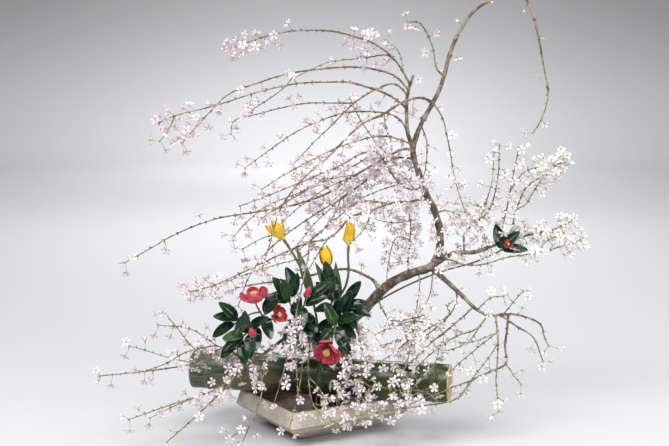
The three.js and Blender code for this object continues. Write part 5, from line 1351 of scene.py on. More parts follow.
for name, plan in TULIPS.items():
    plan_tulip(name, plan)
for name, plan in TULIPS.items():
    shape = Shape()
    line = route(plan["stops"], TULIP_STEPS * 5, 24)
    radii = np.linspace(*TULIP_RADII, len(line))
    radii[-4:] *= (1.02, 1.08, 1.2, 1.35)
    shape.skin(sweep(line, radii, 14, level=True), 0.0)
    low, high = (seen(stop) for stop in plan["leaf"])
    tulip_blade(shape, nearest(plan["stations"], low), high)
    place(f"{name}_stalk", shape, [tulip_green], f"{name}_stem")

    petals = Shape()
    base = plan["base"] + plan["axis"] * 1.3
    for k in range(3):
        for profile, turn in ((plan["outer"], 0.0), (TULIP_INNER, math.pi / 3)):
            rows, away, marks = petal_rows(base, plan["axis"], k * 2 * math.pi / 3 + turn, profile,
                                           1.0, np.linspace(-1, 1, 11), draw, 17,
                                           TULIP_RUFFLE, TULIP_POINT)
            petals.sheet(rows, away, TULIP_THICK, marks)
    heart = rod(base, plan["axis"], [(0, 2.5), (2, 5.2), (4.5, 6.3), (9, 4.5)], 1.0, 16)
    petals.skin(heart, 0.0)
    place(f"{name}_flower", petals, [tulip_petal], f"{name}_petals")

# ------------------------------------------------------------------ cherry sprays
# Long thin twigs weep from the limb, above all to the left. Their blossoms hang in small groups
# on green stalks: five narrow pale petals, white to pink, round a few fine stamens.

# Patches of the front view, each a middle, a spread and a value. Blossoms crowd in the first by
# so many more, the share in the second has dropped, and the third is clear round each middle.
CROWDS = [
    ((238, 48), (20, 14), 3.0), ((365, 38), (16, 12), 1.6), ((300, 106), (30, 9), 0.9),
    ((180, 125), (24, 20), 1.0), ((385, 186), (40, 20), 2.3), ((342, 202), (24, 16), 1.4),
    ((420, 225), (24, 26), 2.2), ((415, 250), (28, 13), 2.6), ((365, 345), (26, 22), 3.8),
    ((362, 390), (26, 18), 4.6), ((404, 345), (24, 18), 1.8), ((296, 334), (22, 14), 4.0),
    ((250, 365), (24, 16), 2.0), ((205, 290), (20, 14), 2.4), ((218, 391), (16, 9), 2.2),
    ((556, 168), (18, 14), 3.6), ((505, 236), (32, 13), 3.2), ((466, 228), (22, 20), 2.2),
    ((570, 240), (13, 17), 2.8), ((438, 243), (15, 18), 3.4), ((390, 332), (22, 14), 3.0),
]
SPARSE = [
    ((305, 74), (70, 34), 0.75), ((474, 346), (26, 36), 0.75), ((292, 246), (32, 26), 0.5),
    ((340, 140), (40, 20), 0.35), ((292, 22), (26, 14), 0.7), ((184, 404), (24, 16), 0.6),
    ((150, 335), (40, 28), 0.4), ((520, 330), (30, 30), 0.3),
]
CLEAR_VIEWS = [
    ((350, 232), 13), ((325, 254), 9), ((272, 227), 10), ((253, 293), 14), ((283, 314), 9),
    ((329, 349), 12), ((352, 285), 12), ((304, 378), 15), ((308, 402), 13), ((292, 405), 9),
]
BLOSSOM_RADIUS, PEDICEL, BUD_LENGTH, BUD_PEDICEL, YOUNG_LEAF = 13.0, 22.0, 8.0, 17.0, 20.0
CROWD_ROOM, STALK, CROWD_STALK, BUD_STALK = (4.0, 8.0), 0.62, 0.55, 0.6
BLOSSOM_THICK, BRACT_THICK, BRACT_SHARE = 0.25, 0.35, 0.6
PETAL_OUTLINE = ((0.0, 0.5), (0.22, 1.4), (0.5, 2.6), (0.76, 3.2), (0.93, 2.5), (1.0, 1.2))
BRACT_OUTLINE = ((0.0, 0.06), (0.25, 0.15), (0.55, 0.19), (0.82, 0.11), (1.0, 0.02))
OPENNESS = (1.6, 3.0, 5.0, 2.4, 8.0, -0.6, 3.8, 6.4, 10.0)
TO_TIP, LEAN, TO_FRONT = 0.35, np.array([0.0, -0.15, -0.25]), np.array([0.0, -0.6, 0.05])
PETAL_WHITE, PETAL_PINK, PETAL_ROSE = (0.85, 0.83, 0.825), (0.79, 0.66, 0.75), (0.60, 0.34, 0.47)
PETAL_CREAM, STALK_LIME, STALK_RED = (0.74, 0.73, 0.50), (0.40, 0.42, 0.13), (0.34, 0.20, 0.11)
ANTHER_GOLD, ANTHER_BROWN = (0.62, 0.50, 0.20), (0.48, 0.30, 0.16)

blossom_petal, wire = paint("blossom_petal")
up_petal, out_petal, tint = wire.marks()
flow = wire.noise(wire.spot(), 0.16, 3.0)
colour = wire.mixed(tint, PETAL_PINK, PETAL_WHITE)
colour = wire.mixed((1.0 - up_petal.rise(0.05, 0.5)) * 0.5, colour, PETAL_CREAM)
colour = wire.mixed((1.0 - tint) * up_petal.rise(0.6, 1.0) * 0.35, colour, PETAL_ROSE)
colour = wire.mixed((1.0 - abs(out_petal).rise(0.04, 0.22)) * 0.12, colour, PETAL_ROSE)
coat(wire, {
    "Base Color": colour,
    "Roughness": 0.5 + flow * 0.15,
    "Sheen Weight": 0.2,
    "Subsurface Weight": 0.25,
    "Subsurface Radius": (0.003, 0.002, 0.002),
    "Normal": wire.bump(flow, 0.25, 0.4),
})
blossom_green, wire = paint("blossom_stalk")
_, _, redness = wire.marks()
streak = wire.noise(wire.spot(), 0.5, 3.0)
coat(wire, {
    "Base Color": wire.mixed(redness * 0.6 + streak * 0.3, STALK_LIME, STALK_RED),
    "Roughness": 0.5 + streak * 0.1,
})
blossom_pollen, wire = paint("blossom_pollen")
dust = wire.noise(wire.spot(), 2.4, 3.0)
coat(wire, {
    "Base Color": wire.mixed(dust.rise(0.35, 0.7), ANTHER_GOLD, ANTHER_BROWN),
    "Roughness": 0.85,
})


def blossom_template(draw, openness):
    """A blossom about its own centre, facing up, 1 mm to the unit."""
    shape = Shape()
    columns = np.array([-1.0, 0.0, 1.0])
    length = BLOSSOM_RADIUS * draw.uniform(0.96, 1.04)
    breadth = draw.uniform(0.85, 1.3)
    for k in range(5):
        petal_length = length * draw.uniform(0.9, 1.0)
        angle = k * 2 * math.pi / 5 + draw.uniform(-0.16, 0.16)
        way = np.array([math.cos(angle), math.sin(angle), 0.0])
        side = np.array([-way[1], way[0], 0.0])
        raise_tip = openness * draw.uniform(0.7, 1.3)
        twist = draw.uniform(-0.25, 0.25)
        rows, marks = [], []
        for part, half in PETAL_OUTLINE:
            half *= breadth
            out = 1.0 + (petal_length - 1.0) * part * (1 - 0.03 * openness)
            notch = np.array([0.0, -1.0 * (part > 0.99), 0.0])
            up = raise_tip * part ** 1.6 - 0.9 * (part > 0.9)
            lift = np.abs(columns) * half * 0.28 + columns * twist * part * half
            rows.append(np.outer(out + notch, way) + np.outer(columns * half, side)
                        + np.outer(up + lift, UP))
            marks.append(row_marks(part, columns, 0.0))
        shape.sheet(rows, UP, BLOSSOM_THICK, marks)
    cup = [(0.6, -4.6), (1.5, -3.2), (1.7, -1.6), (1.3, 0.3)]
    shape.skin(turned(cup, 6), (0.0, 0.0, 0.9), 1)
    for k in range(7):
        angle = k * GOLDEN_ANGLE
        out = 1.0 + 2.8 * (k % 3) / 2
        tip = np.array([out * math.cos(angle), out * math.sin(angle), 4.6 + 0.6 * (k % 2)])
        low = np.array([0.5 * math.cos(angle), 0.5 * math.sin(angle), 0.3])
        shape.skin(sweep(np.array([low, tip]), [0.22, 0.16], 3), (0.6, 0.0, 0.0), 0)
        grain = np.array([tip - (0, 0, 0.3), tip + (0, 0, 0.35), tip + (0, 0, 1.0)])
        shape.skin(sweep(grain, [0.2, 0.42, 0.2], 3), (1.0, 0.0, 0.0), 2)
    return shape


def bud_template():
    """A closed blossom bud in its cup."""
    shape = Shape()
    closed = [(0.9, -0.6), (2.3, 1.2), (2.6, 3.2), (2.0, 5.6), (0.8, 7.3)]
    shape.skin(turned(closed, 8), [(0.4 + 0.12 * i, 0.1, 0.0) for i in range(5)], last=UP * 7.8)
    cup = [(0.6, -4.2), (1.5, -2.6), (1.8, -0.8), (2.2, 1.0)]
    shape.skin(turned(cup, 8), (0.0, 0.0, 0.9), 1)
    return shape


def hang(shape, template, root, centre, facing, spin, size, tint, stalk):
    """Adds a copy of the template, turned to its facing, on a stalk from the root."""
    across = about(facing, square_to(facing, UP), spin)
    over = np.cross(facing, across)
    points = np.concatenate(template.points) @ np.array([across, over, facing]) * size + centre
    marks = np.concatenate(template.marks)
    marks[marks[:, 2] == 0.0, 2] = tint
    shape.add(points, template.faces, marks, template.paints)
    end = centre - facing * 4.4
    middle = (root + end) / 2 + np.array([0.0, 0.0, -1.2]) + (end - root) * 0.06
    line = np.array([curve_point([root, middle, end], t) for t in np.linspace(0, 1, 5)])
    redness = [(0.0, 0.0, red) for red in (0.5, 0.3, 0.2, 0.4, 0.7)]
    shape.skin(sweep(line, np.array([1.1, 0.8, 0.75, 0.8, 1.0]) * stalk, 4), redness, 1)


def bract(shape, root, way, length, along):
    """A small fresh leaf on the twig, folded along its middle."""
    up = square_to(way, along)
    side = np.cross(way, up)
    columns = np.array([-1.0, 0.0, 1.0])
    rows, marks = [], []
    for part, half in BRACT_OUTLINE:
        centre = root + way * length * part + up * length * 0.12 * math.sin(math.pi * part)
        rows.append(centre + np.outer(columns * half * length, side)
                    + np.outer(np.abs(columns) * half * length * 0.4, up))
        marks.append(row_marks(part, columns, 0.12))
    shape.sheet(rows, up, BRACT_THICK, marks, 1)


def outward(along, turn):
    """The way that a stalk leaves a twig: round it by the turn, and down and to the front."""
    return unit(about(along, square_to(along, FRONT), turn) + along * TO_TIP + LEAN)


def free_place(owner, root, along, turn, pedicel, radius, kept=None):
    """The first of eight places round the twig where nothing else is."""
    for attempt in range(8):
        out = outward(along, turn + attempt * math.pi / 4)
        length = pedicel * (1 + 0.15 * math.sin(turn * 3))
        centre, half = root + out * length, root + out * length * 0.5
        if room.is_free(owner, centre, radius) and room.is_free(owner, half, PEDICEL_ROOM):
            room.claim(f"{owner} growth", centre, kept or radius)
            room.claim(owner, half, PEDICEL_ROOM)
            return centre, unit(out + TO_FRONT), out
    return None


def pictured(point):
    """Where a point is seen in the front view."""
    ray = point - EYE
    scale = FOCAL_PIXELS / np.dot(ray, FORWARD)
    return np.array([PICTURE[0] / 2 + ray[0] * scale, PICTURE[1] / 2 - np.dot(ray, UPWARD) * scale])


def strongest(patches, point):
    """The most that any of the patches, which fade out, gives at a place on a twig."""
    seen_at = pictured(point)
    return max(value * math.exp(-np.linalg.norm((seen_at - middle) / spread) ** 2 / 2)
               for middle, spread, value in patches)


def in_front(centre):
    """True where a blossom would hide a tulip or a camellia from the front."""
    seen_at = pictured(centre)
    return any(np.linalg.norm(seen_at - middle) < reach for middle, reach in CLEAR_VIEWS)


def crowd_twigs(owner, twigs, shape, draw):
    """More blossoms between the first ones, where they crowd."""
    turn = 3
    for part in twigs:
        stations, growth = part["stations"], part["growth"]
        for i, mark in enumerate(growth):
            along = heading(stations, i + 1)
            for share in (0.0, 0.33, 0.67):
                root = stations[i + 1] + (stations[i] - stations[i + 1]) * share
                wanted = strongest(CROWDS, root) + draw.uniform(-0.5, 0.5)
                if mark == "-":
                    wanted *= 0.4
                for _ in range(int(round(wanted))):
                    turn += 1
                    found = free_place(owner, root, along, turn * GOLDEN_ANGLE + draw.uniform(0, 1),
                                       PEDICEL * draw.uniform(0.75, 1.1), *CROWD_ROOM)
                    if found and not in_front(found[0]):
                        centre, facing, _ = found
                        facing = unit(facing + draw.uniform(-1.1, 1.1, 3))
                        hang(shape, BLOSSOMS[turn % len(BLOSSOMS)], root, centre, facing,
                             draw.uniform(0, 6.3), draw.uniform(0.86, 1.05),
                             whiteness(centre, draw), CROWD_STALK)


def whiteness(centre, draw):
    """Blossoms are whiter to the right, and pinker at the upper left."""
    share = 0.22 + max(centre[0] - 60, -60) / 420 + (430 - centre[2]) / 1100
    return float(np.clip(share + draw.uniform(-0.25, 0.25), 0.02, 1.0))


def grow(owner, twigs, shape, draw):
    """What grows at the stations of the twigs: blossoms, buds and young leaves."""
    turn = len(owner)
    for part in twigs:
        stations, growth = part["stations"], part["growth"]
        for i, mark in enumerate(growth):
            along = heading(stations, i + 1)
            at_tip = i + 1 == len(growth)
            root = stations[i + 1] - along * (2.0 if at_tip else 0.0)
            for _ in range(int(mark) if mark.isdigit() else 0):
                turn += 1
                found = free_place(owner, root, along, turn * GOLDEN_ANGLE, PEDICEL, BLOSSOM_RADIUS)
                first_made = at_tip or turn % 5 == 0
                dropped = draw.uniform() < strongest(SPARSE, root)
                dropped = dropped or (found and in_front(found[0]))
                if found and (first_made or not dropped):
                    centre, facing, _ = found
                    size = draw.uniform(0.92, 1.0)
                    if not first_made:
                        facing = unit(facing + draw.uniform(-0.7, 0.7, 3))
                    hang(shape, BLOSSOMS[turn % len(BLOSSOMS)], root, centre, facing,
                         0.0, size, whiteness(centre, draw), STALK)
            if mark == "b":
                turn += 1
                found = free_place(owner, root, along, turn * GOLDEN_ANGLE, BUD_PEDICEL,
                                   BUD_LENGTH * 0.6)
                if found:
                    hang(shape, BUD, root, found[0], found[1], 0.0, 1.0, 0.0, BUD_STALK)
            if mark == "v":
                turn += 1
                found = free_place(owner, root, along, turn * GOLDEN_ANGLE, YOUNG_LEAF * 0.6,
                                   YOUNG_LEAF * 0.4)
                if found:
                    bract(shape, root, found[2], YOUNG_LEAF, along)
            if mark in "-b" and draw.uniform() < BRACT_SHARE:
                for k in range(2):
                    way = outward(along, turn * GOLDEN_ANGLE + 1.3 + 2.6 * k + draw.uniform(0, 2))
                    bract(shape, root, way, draw.uniform(5.0, 10.0), along)
            if mark.isdigit():
                for k in range(3):
                    way = outward(along, turn * GOLDEN_ANGLE + 2.1 * (k + 1))
                    bract(shape, root, way, draw.uniform(5.0, 11.0), along)


draw = np.random.default_rng(5)
BLOSSOMS = [blossom_template(draw, openness) for openness in OPENNESS]
BUD = bud_template()

SPRAYS = {
    "spray_top_left": [
        twig(2.8, 1.2, "-1-11--112232", (410, 84, -10), (395, 60, -20), (376.5, 45, -30),
             (356, 37, -40), (330, 31, -48), (292.5, 31, -56), (266.6, 36, -60), (232, 48, -62)),
        twig(1.8, 1, "-1-1-12", (395, 60, -20), (387, 55, -10), (364, 58, 5), (330, 62, 15),
             (310, 70, 22), (294, 78, 28)),
        twig(1.4, 1, "-11", (403, 72, -15), (399, 52, -2), (385, 40, 8)),
    ],
    "spray_back_left": [
        twig(2.8, 1.2, "-1-11-1-11-1222", (408, 90, -9), (395, 76, 6), (373, 69, 24), (352, 67, 40),
             (330, 68, 58), (287, 74, 85), (258, 83, 100), (229, 94, 112), (208, 114, 120),
             (182, 143, 128)),
    ],
    "spray_far_left": [
        twig(2.8, 1.2, "-11-1-11--1-1-12v", (406.6, 108, -6), (388.5, 95, -40), (364, 86, -58),
             (347, 82, -70), (330, 82, -80), (297.6, 83.5, -98), (258, 92, -115),
             (223.6, 103, -128), (198, 110, -138), (180.5, 114, -144), (160, 122, -148)),
        twig(1.4, 1, "12", (176, 115, -146), (168, 130, -150), (160, 141, -152)),
    ],
    "spray_top": [
        twig(2.4, 1.2, "-1112", (444, 76, 28), (437, 69, 24), (432.5, 46.5, 18), (419.5, 23, 8),
             (408, 22, 4)),
    ],
    "spray_long_front": [
        twig(3.4, 1.2, "-1--1-12--12-12-122", (433, 104, 22), (423, 98, 0), (405, 101, -36),
             (381.7, 115, -70), (362, 124, -90), (329, 156, -115), (299, 183, -140),
             (280, 210, -160), (271, 240, -180), (262, 268, -190)),
    ],
    "spray_upper_left": [
        twig(2.4, 1.1, "-1-1211-21", (408, 96, -8), (395, 84, 2), (373, 91, 15), (352, 105, 25),
             (330, 127, 35), (316.6, 139.5, 40), (292.5, 165, 48)),
        twig(1.8, 1, "-1-1-1122", (355, 103, 24), (330, 103, 40), (310, 103, 50), (285.6, 107, 60),
             (258, 114, 70), (234, 121, 78), (230.5, 134, 80)),
    ],
    "spray_mid_back": [
        twig(2.4, 1.1, "-11-1112-1-122", (408, 132, 1), (400, 120, 12), (390, 114, 22),
             (350.7, 112, 50), (330, 117, 60), (297.6, 131, 74), (275, 146, 84), (245, 168, 94)),
    ],
    "spray_mid_front": [
        twig(2.4, 1.1, "-12-11-212-12", (411, 145, 8), (404, 141, -8), (380.5, 136, -34),
             (339, 147, -70), (306, 163, -94), (284, 175, -108), (262, 189, -118)),
    ],
    "spray_long_left": [
        twig(3.4, 1.2, "-12-2112--1-1-1--1-12", (412.5, 150, 10), (404, 149, 0), (385, 158, -10),
             (356, 175, -28), (330, 192, -44), (297.6, 204, -62), (256, 212, -80), (215, 219, -96),
             (174, 235, -108), (149.5, 249, -112), (125, 262.6, -116)),
    ],
    "spray_centre": [
        twig(2.6, 1.1, "-12122-12-1112122", (414, 158, 10), (392, 159, 20), (364, 182, 30),
             (341, 199, 26), (322, 210, 14), (295, 228, -6), (270, 248.6, -24), (250, 275, -38),
             (238, 306, -48)),
        twig(1.4, 1, "112", (285, 237, -14), (268.8, 236, -4), (242.5, 249, 10)),
    ],
    "spray_heart": [
        twig(2.6, 1.1, "-2122-121-1221", (424, 187, 6), (414, 190, -4), (400, 184, -14),
             (390, 171, -24), (376, 152, -42), (361, 154, -56), (341, 165, -74), (306, 180, -100),
             (272, 194, -118), (240, 206, -130)),
        twig(1.6, 1, "-1-1122", (338, 167, -76), (308, 188.5, -78), (266.6, 206, -94),
             (251, 218, -100), (234, 236, -104)),
    ],
    "spray_heart_back": [
        twig(2.2, 1.1, "-12122122", (421, 186, 7), (407, 176, 26), (397, 164, 40), (385, 152, 52),
             (372, 137, 62), (356, 112, 74), (350, 98, 78)),
    ],
    "spray_dark_lateral": [
        twig(3.4, 1.2, "-122-2121-21-12--1222", (429, 199, 5), (412, 201, -14), (388.5, 204, -38),
             (369.6, 211, -58), (349, 218, -80), (341, 228, -92), (328, 238.7, -108),
             (308.6, 242.5, -126), (292.5, 249, -138), (263, 262.6, -156), (241, 273, -166),
             (215, 285, -176), (190, 292, -180)),
        twig(1.8, 1, "--1-1-112", (308.6, 242.5, -126), (308.6, 253, -140), (302, 286, -158),
             (294, 329, -172), (296, 360, -180), (298, 395, -186)),
        twig(1.6, 1, "12", (371, 210, -57), (366, 226, -66), (354, 240, -76)),
    ],
    "spray_low_arc": [
        twig(2.4, 1.1, "-1-1-1-1-12", (379, 293, 22), (374, 281, 40), (366, 276, 46),
             (356.7, 271.5, 46), (345, 269, 42), (320.6, 273, 32), (300, 278, 22), (257, 284, -4),
             (236, 288, -16)),
    ],
    "spray_upright": [
        twig(2.4, 1.2, "-2121", (408, 276, 8), (408.4, 254, 14), (410.7, 228, 20), (408, 207, 24)),
        twig(1.4, 1, "22", (410, 222, 21), (395, 223, 30), (375, 219.5, 40)),
        twig(1.4, 1, "121", (410, 239, 18), (397, 237, 8), (388, 265, -8), (386.6, 281.5, -14)),
    ],
    "spray_inner_right": [
        twig(2, 1.1, "-112212", (433, 104, 22), (442, 117, 16), (449, 146, 6), (454, 174, -4),
             (458.6, 193, -10), (465, 211, -16)),
    ],
    "spray_right_tall": [
        twig(2.4, 1.1, "-1121112", (465, 252, 10), (465, 233, 0), (480, 220, -8), (490, 208.5, -14),
             (498, 176, -24), (499.4, 145, -30)),
        twig(1.6, 1, "1211", (480, 220, -8), (485, 205.5, 6), (492, 181, 14), (494, 152, 22)),
        twig(1.6, 1, "12", (467, 230, -2), (474, 221, 12), (478, 205, 20)),
    ],
    "spray_right_fan": [
        twig(2.2, 1.1, "-12112", (504, 243, 33), (503.4, 224, 26), (507.5, 205.5, 20),
             (510.6, 189, 14), (518.7, 148, 4)),
        twig(1.4, 1, "112", (510, 192, 14), (518.7, 178, 0), (526, 171, -8), (542, 166, -14)),
    ],
    "spray_right_white": [
        twig(2.2, 1.1, "-121222", (515, 239, 36), (513.6, 220, 48), (521, 197, 56), (527, 187, 60),
             (552, 170, 68), (566, 157, 72)),
        twig(1.4, 1, "122", (517, 210, 52), (526, 204, 40), (534, 191, 34), (543, 177, 28)),
    ],
    "spray_right_low": [
        twig(2.2, 1.1, "--1-12-12", (442, 266, -6), (450.5, 261, -12), (466, 265, -18),
             (485, 264, -24), (504, 258, -32), (536, 253, -42), (566.6, 245, -52),
             (580, 240, -56)),
        twig(1.3, 1, "12", (536, 253, -42), (547, 241, -34), (564, 233, -28)),
    ],
    "spray_fall_inner": [
        twig(2.2, 1.1, "-122122", (456, 290, -25), (457, 300, -40), (450.5, 313, -56),
             (426, 330, -84), (412, 338, -96), (398, 350, -104)),
    ],
    "spray_fall_middle": [
        twig(2.2, 1.1, "-212122", (474, 307, -42), (457, 322, -70), (447, 330, -82),
             (432, 342, -98), (418, 356, -112), (402, 370, -122)),
    ],
    "spray_fall_front": [
        twig(2.2, 1.1, "-1212122", (488, 315.5, -54), (476, 329, -84), (457, 336, -104),
             (440, 347, -120), (424, 360, -134), (404, 382, -148)),
        twig(1.6, 1, "1212", (480, 325, -76), (471, 339, -70), (456, 348, -62), (442, 352, -58)),
    ],
    "spray_fall_right": [
        twig(2.2, 1.1, "-11-121", (496, 317, -60), (498, 342, -90), (497, 366, -104),
             (496, 380, -110), (499, 411, -116)),
        twig(1.6, 1, "12212", (497, 332, -80), (478, 347.5, -104), (456, 366, -132),
             (436, 386, -154)),
        twig(1.4, 1, "121", (498.5, 344, -91), (490, 356, -84), (468, 384, -72)),
    ],
    "spray_low_right": [
        twig(3, 1.2, "-1-1-1-1-12-1-121", (508, 314.5, -66), (507, 330, -54), (505, 346, -48),
             (506, 363, -60), (490, 371.6, -90), (473, 380, -120), (455.7, 399, -160),
             (421, 406, -185), (389, 410, -200), (370, 413, -208), (332, 422, -222)),
        twig(1.3, 1, "11", (506, 363, -60), (513, 374, -56), (521, 384.5, -52)),
        twig(1.4, 1, "122", (440, 403, -172), (425, 392, -176), (395, 390, -180)),
    ],
    "spray_low_left_back": [
        twig(2.6, 1.1, "-12-212-12-12", (262, 355, -105), (250, 352, -88), (235, 349, -66),
             (217, 350, -52), (194, 363, -60), (163, 369, -75), (129, 373, -85), (99.6, 376, -92)),
        twig(1.5, 1, "1-12", (194, 363, -60), (170, 358, -50), (144, 350, -44), (129, 346, -40)),
        twig(1.5, 1, "122", (208, 355, -55), (196, 350, -64), (174, 324, -74), (163, 311, -78)),
    ],
    "spray_low_left": [
        twig(2.2, 1.1, "-22122-12", (250, 364, -114), (232, 352, -104), (217, 346, -98),
             (204.6, 347.5, -100), (184, 353, -106), (167, 363, -112), (144, 371.6, -118)),
        twig(1.4, 1, "1212", (217, 346, -98), (200, 334, -92), (189, 328.5, -90), (158, 325, -86)),
    ],
    "spray_front_left": [
        twig(2, 1.1, "-21212", (228, 382, -133), (212, 391, -150), (198, 396.6, -160),
             (177, 402.6, -172), (153, 411, -182), (129, 419.5, -190)),
        twig(1.4, 1, "11", (190, 399, -166), (170, 408, -154), (150, 418, -156)),
    ],
    "spray_front_tip": [
        twig(2, 1.1, "--12-1-", (234, 376, -128), (228, 386, -160), (220, 393, -178),
             (208, 405, -198), (184, 427, -214), (167, 442, -222)),
    ],
}

# Finer twigs between the long ones of a spray, or of the limb.
MORE_TWIGS = {
    "cherry_limb": LIMB_HANGING,
    "spray_back_left": [
        twig(1.2, 0.9, "--12", (296, 75, 80), (281.4, 90, 84), (263, 103, 86), (253, 109, 86)),
    ],
    "spray_mid_back": [twig(1.1, 0.9, "-1", (383, 113, 26), (387, 131.8, 30), (391, 141, 32))],
    "spray_long_left": [
        twig(1.3, 0.9, "-1-1-12", (356, 175, -28), (340, 177, -14), (316, 184, -8),
             (293.5, 198, -16), (272, 212, -24)),
        twig(1.3, 0.9, "-1-1-2", (353, 177, -30), (330.5, 186, -50), (313, 197, -58),
             (297, 209, -62), (284, 220, -64)),
    ],
    "spray_centre": [
        twig(1.3, 0.9, "-1-1-1-1", (364, 182, 30), (341.5, 197.6, 44), (328, 211, 50),
             (317, 221, 52), (303, 238, 50), (290, 254, 46)),
        twig(1.1, 0.9, "-1-1", (341, 199, 26), (334, 215, 30), (322, 231, 34), (312, 240, 36)),
    ],
    "spray_heart": [
        twig(1.4, 0.9, "-1-12-12", (376, 152, -42), (352, 167, -28), (330, 179, -24),
             (306, 191, -28), (283, 204, -34), (262, 218, -40)),
        twig(1.1, 0.9, "-1-", (414, 190, -4), (405, 177, 8), (396.6, 166, 16), (391, 160, 20)),
        twig(1.1, 0.9, "-1-1", (400, 184, -14), (384, 189, -6), (366, 196, -2), (350, 206, 0)),
    ],
    "spray_heart_back": [
        twig(1.2, 0.9, "-1-1-1", (397, 164, 40), (384, 168, 54), (366, 178, 66), (346, 190, 76),
             (330, 203, 80)),
    ],
    "spray_dark_lateral": [
        twig(1.3, 0.9, "--1--1-12", (308.6, 253, -140), (301.6, 257.8, -130), (277.4, 264.4, -120),
             (259, 270, -112), (237, 277.6, -104), (216, 286, -98)),
        twig(1.1, 0.9, "--1", (328, 238.7, -108), (319.5, 251, -100), (309.6, 268, -92)),
        twig(1.3, 0.9, "-2121-1-1", (388.5, 204, -38), (372, 201, -22), (358, 203, -12),
             (336, 219, -6), (313, 238, -4), (300, 249, -4)),
    ],
    "spray_fall_inner": [
        twig(1.3, 0.9, "-121", (455, 311, -52), (438, 326.5, -66), (426, 335.6, -76),
             (414, 345, -84)),
        twig(1.1, 0.9, "-1", (450.5, 313, -56), (447, 307, -48), (453, 301, -44)),
        twig(1.2, 0.9, "-1-121", (438, 326.5, -66), (424, 322, -76), (408, 322, -86),
             (392, 327, -96), (375, 335, -104)),
        twig(1.2, 0.9, "-1-12", (426, 335.6, -76), (410, 336, -90), (394, 341, -100),
             (380, 349, -108)),
    ],
    "spray_fall_middle": [
        twig(1.2, 0.9, "-11", (465, 314, -56), (453, 324.8, -54), (443.8, 334, -56),
             (433, 341, -60)),
    ],
    "spray_fall_front": [
        twig(1.3, 0.9, "-1-12", (440, 347, -120), (437, 358, -128), (430, 371, -140),
             (421, 381, -150), (408, 392, -158)),
        twig(1.2, 0.9, "-1-1", (424, 360, -134), (417, 368, -144), (405, 377, -154),
             (391, 389, -162)),
    ],
    "spray_fall_right": [
        twig(1.3, 0.9, "-1-1", (436, 386, -154), (424, 390, -162), (412, 396, -168),
             (401, 404, -174)),
        twig(1.2, 0.9, "-12", (497, 332, -80), (484, 338, -92), (472, 342, -98), (460, 343, -102)),
    ],
    "spray_low_right": [
        twig(1.5, 0.9, "-1-12", (473, 380, -120), (453, 387, -142), (438, 393.6, -154),
             (424, 399, -164), (410, 404, -172)),
    ],
}

for name, twigs in SPRAYS.items():
    plan_cherry(name, twigs)
CHERRY = {"cherry_limb": LIMB, "low_branch": LOW_BRANCH, **SPRAYS}
flowers, woods, lines = {}, {}, {"cherry_limb": limb_line}
for name, twigs in CHERRY.items():
    if name in SPRAYS:
        woods[name], lines[name] = Shape(), []
        slim = ARC_STOUT if name == "spray_low_arc" else SPRAY_SLIM
        for order, part in enumerate(twigs):
            joins = lines[name] or limb_line + low_line
            lines[name].extend(grow_wood(woods[name], part, order, joins, draw, slim))
    flowers[name] = Shape()
    grow(name, twigs, flowers[name], draw)
for name, twigs in MORE_TWIGS.items():
    for order, part in enumerate(twigs):
        lay(part, lines[name])
        room.claim_route(name, part["stations"], part["radii"])
        if name in SPRAYS:
            lines[name].extend(grow_wood(woods[name], part, order, lines[name], draw))
    grow(name, twigs, flowers[name], draw)
for name, wood in woods.items():
    place(f"{name}_twigs", wood, [bark], name)
blossom_paints = [blossom_petal, blossom_green, blossom_pollen]
for name, twigs in CHERRY.items():
    crowd_twigs(name, twigs, flowers[name], draw)
    place(f"{name}_blossoms", flowers[name], blossom_paints, name)

# ------------------------------------------------------------------ floor and light
# A pale floor sweeps up all round into a low wall, with painted shade that makes it a little darker
# to its top, so that each side has a plain ground. Large soft lamps stand at the left, at the right
# and above, and two behind light the ground and the wall. Sizes are in metres here.

SHEET_RADIUS, SHEET_COVE, SHEET_RISE, SHEET_SIDES = 5.6, 1.4, 3.4, 96
SHEET_PALE, SHEET_WHITE, SHEET_SHADE_GREY = (0.58, 0.58, 0.60), (0.60, 0.60, 0.615), (0.26, 0.26, 0.265)
SKY, SKY_STRENGTH = (0.95, 0.97, 1.0, 1.0), 0.4

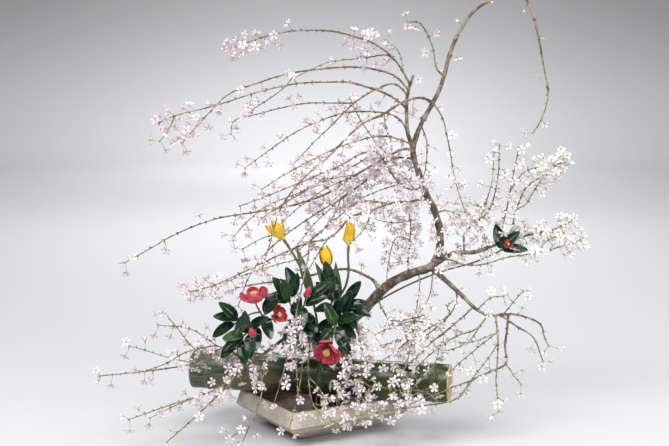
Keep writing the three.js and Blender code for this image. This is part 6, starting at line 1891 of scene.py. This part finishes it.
pale_sheet, wire = paint("pale_sheet")
where = wire.node("ShaderNodeTexCoord", output="Object")
height = wire.node("ShaderNodeSeparateXYZ", None, {0: where}, 2)
paper = wire.mixed(wire.noise(where, 0.8, 2.0), SHEET_PALE, SHEET_WHITE)
coat(wire, {
    # Painted shade: the sheet turns grey towards the top of its wall.
    "Base Color": wire.mixed(height.rise(-0.2, 1.2), paper, SHEET_SHADE_GREY),
    "Roughness": 0.9,
})
line = [(0.5, 0.0), (2.0, 0.0), (4.0, 0.0), (SHEET_RADIUS, 0.0)]
line += [(SHEET_RADIUS + SHEET_COVE * math.sin(a), SHEET_COVE * (1 - math.cos(a)))
         for a in np.linspace(0.12, math.pi / 2, 13)]
line.append((SHEET_RADIUS + SHEET_COVE, SHEET_RISE))
faces = [tuple(range(SHEET_SIDES)), *(face[::-1] for face in faces_between(len(line), SHEET_SIDES))]
floor_mesh = bpy.data.meshes.new("floor_sheet")
floor_mesh.from_pydata(np.concatenate(turned(line, SHEET_SIDES)), [], faces)
floor_mesh.materials.append(pale_sheet)
floor_mesh.polygons.foreach_set("use_smooth", [True] * len(faces))
stand("floor_sheet", floor_mesh)


def lamp(name, place_at, aim, size, watts):
    """A soft lamp turned to its aim."""
    light = stand(name, bpy.data.lights.new(name, "AREA"))
    light.data.shape = "RECTANGLE"
    light.data.size, light.data.size_y = size
    light.data.energy = watts
    light.location = place_at
    way = unit(np.array(aim) - np.array(place_at))
    light.rotation_euler = (math.acos(-way[2]), 0.0, math.atan2(way[1], way[0]) - math.pi / 2)


lamp("key_light", (-1.3, -2.0, 2.7), (0.1, 0.0, 0.35), (2.0, 1.5), 100)
lamp("top_light", (0.7, -0.2, 3.1), (0.2, 0.0, 0.2), (2.4, 1.8), 56)
lamp("fill_light", (2.4, -2.5, 1.6), (0.2, -0.2, 0.2), (1.8, 1.6), 60)
lamp("ground_light", (0.0, 3.1, 2.1), (0.0, 3.4, 0.0), (0.9, 1.6), 54)
lamp("back_light", (0.0, 5.0, 1.7), (0.0, 6.7, 0.2), (1.2, 0.8), 40)
world = bpy.data.worlds.new("studio")
world.use_nodes = True
background = world.node_tree.nodes["Background"]
background.inputs["Color"].default_value = SKY
background.inputs["Strength"].default_value = SKY_STRENGTH
bpy.context.scene.world = world
bpy.context.scene.view_settings.view_transform = "Standard"
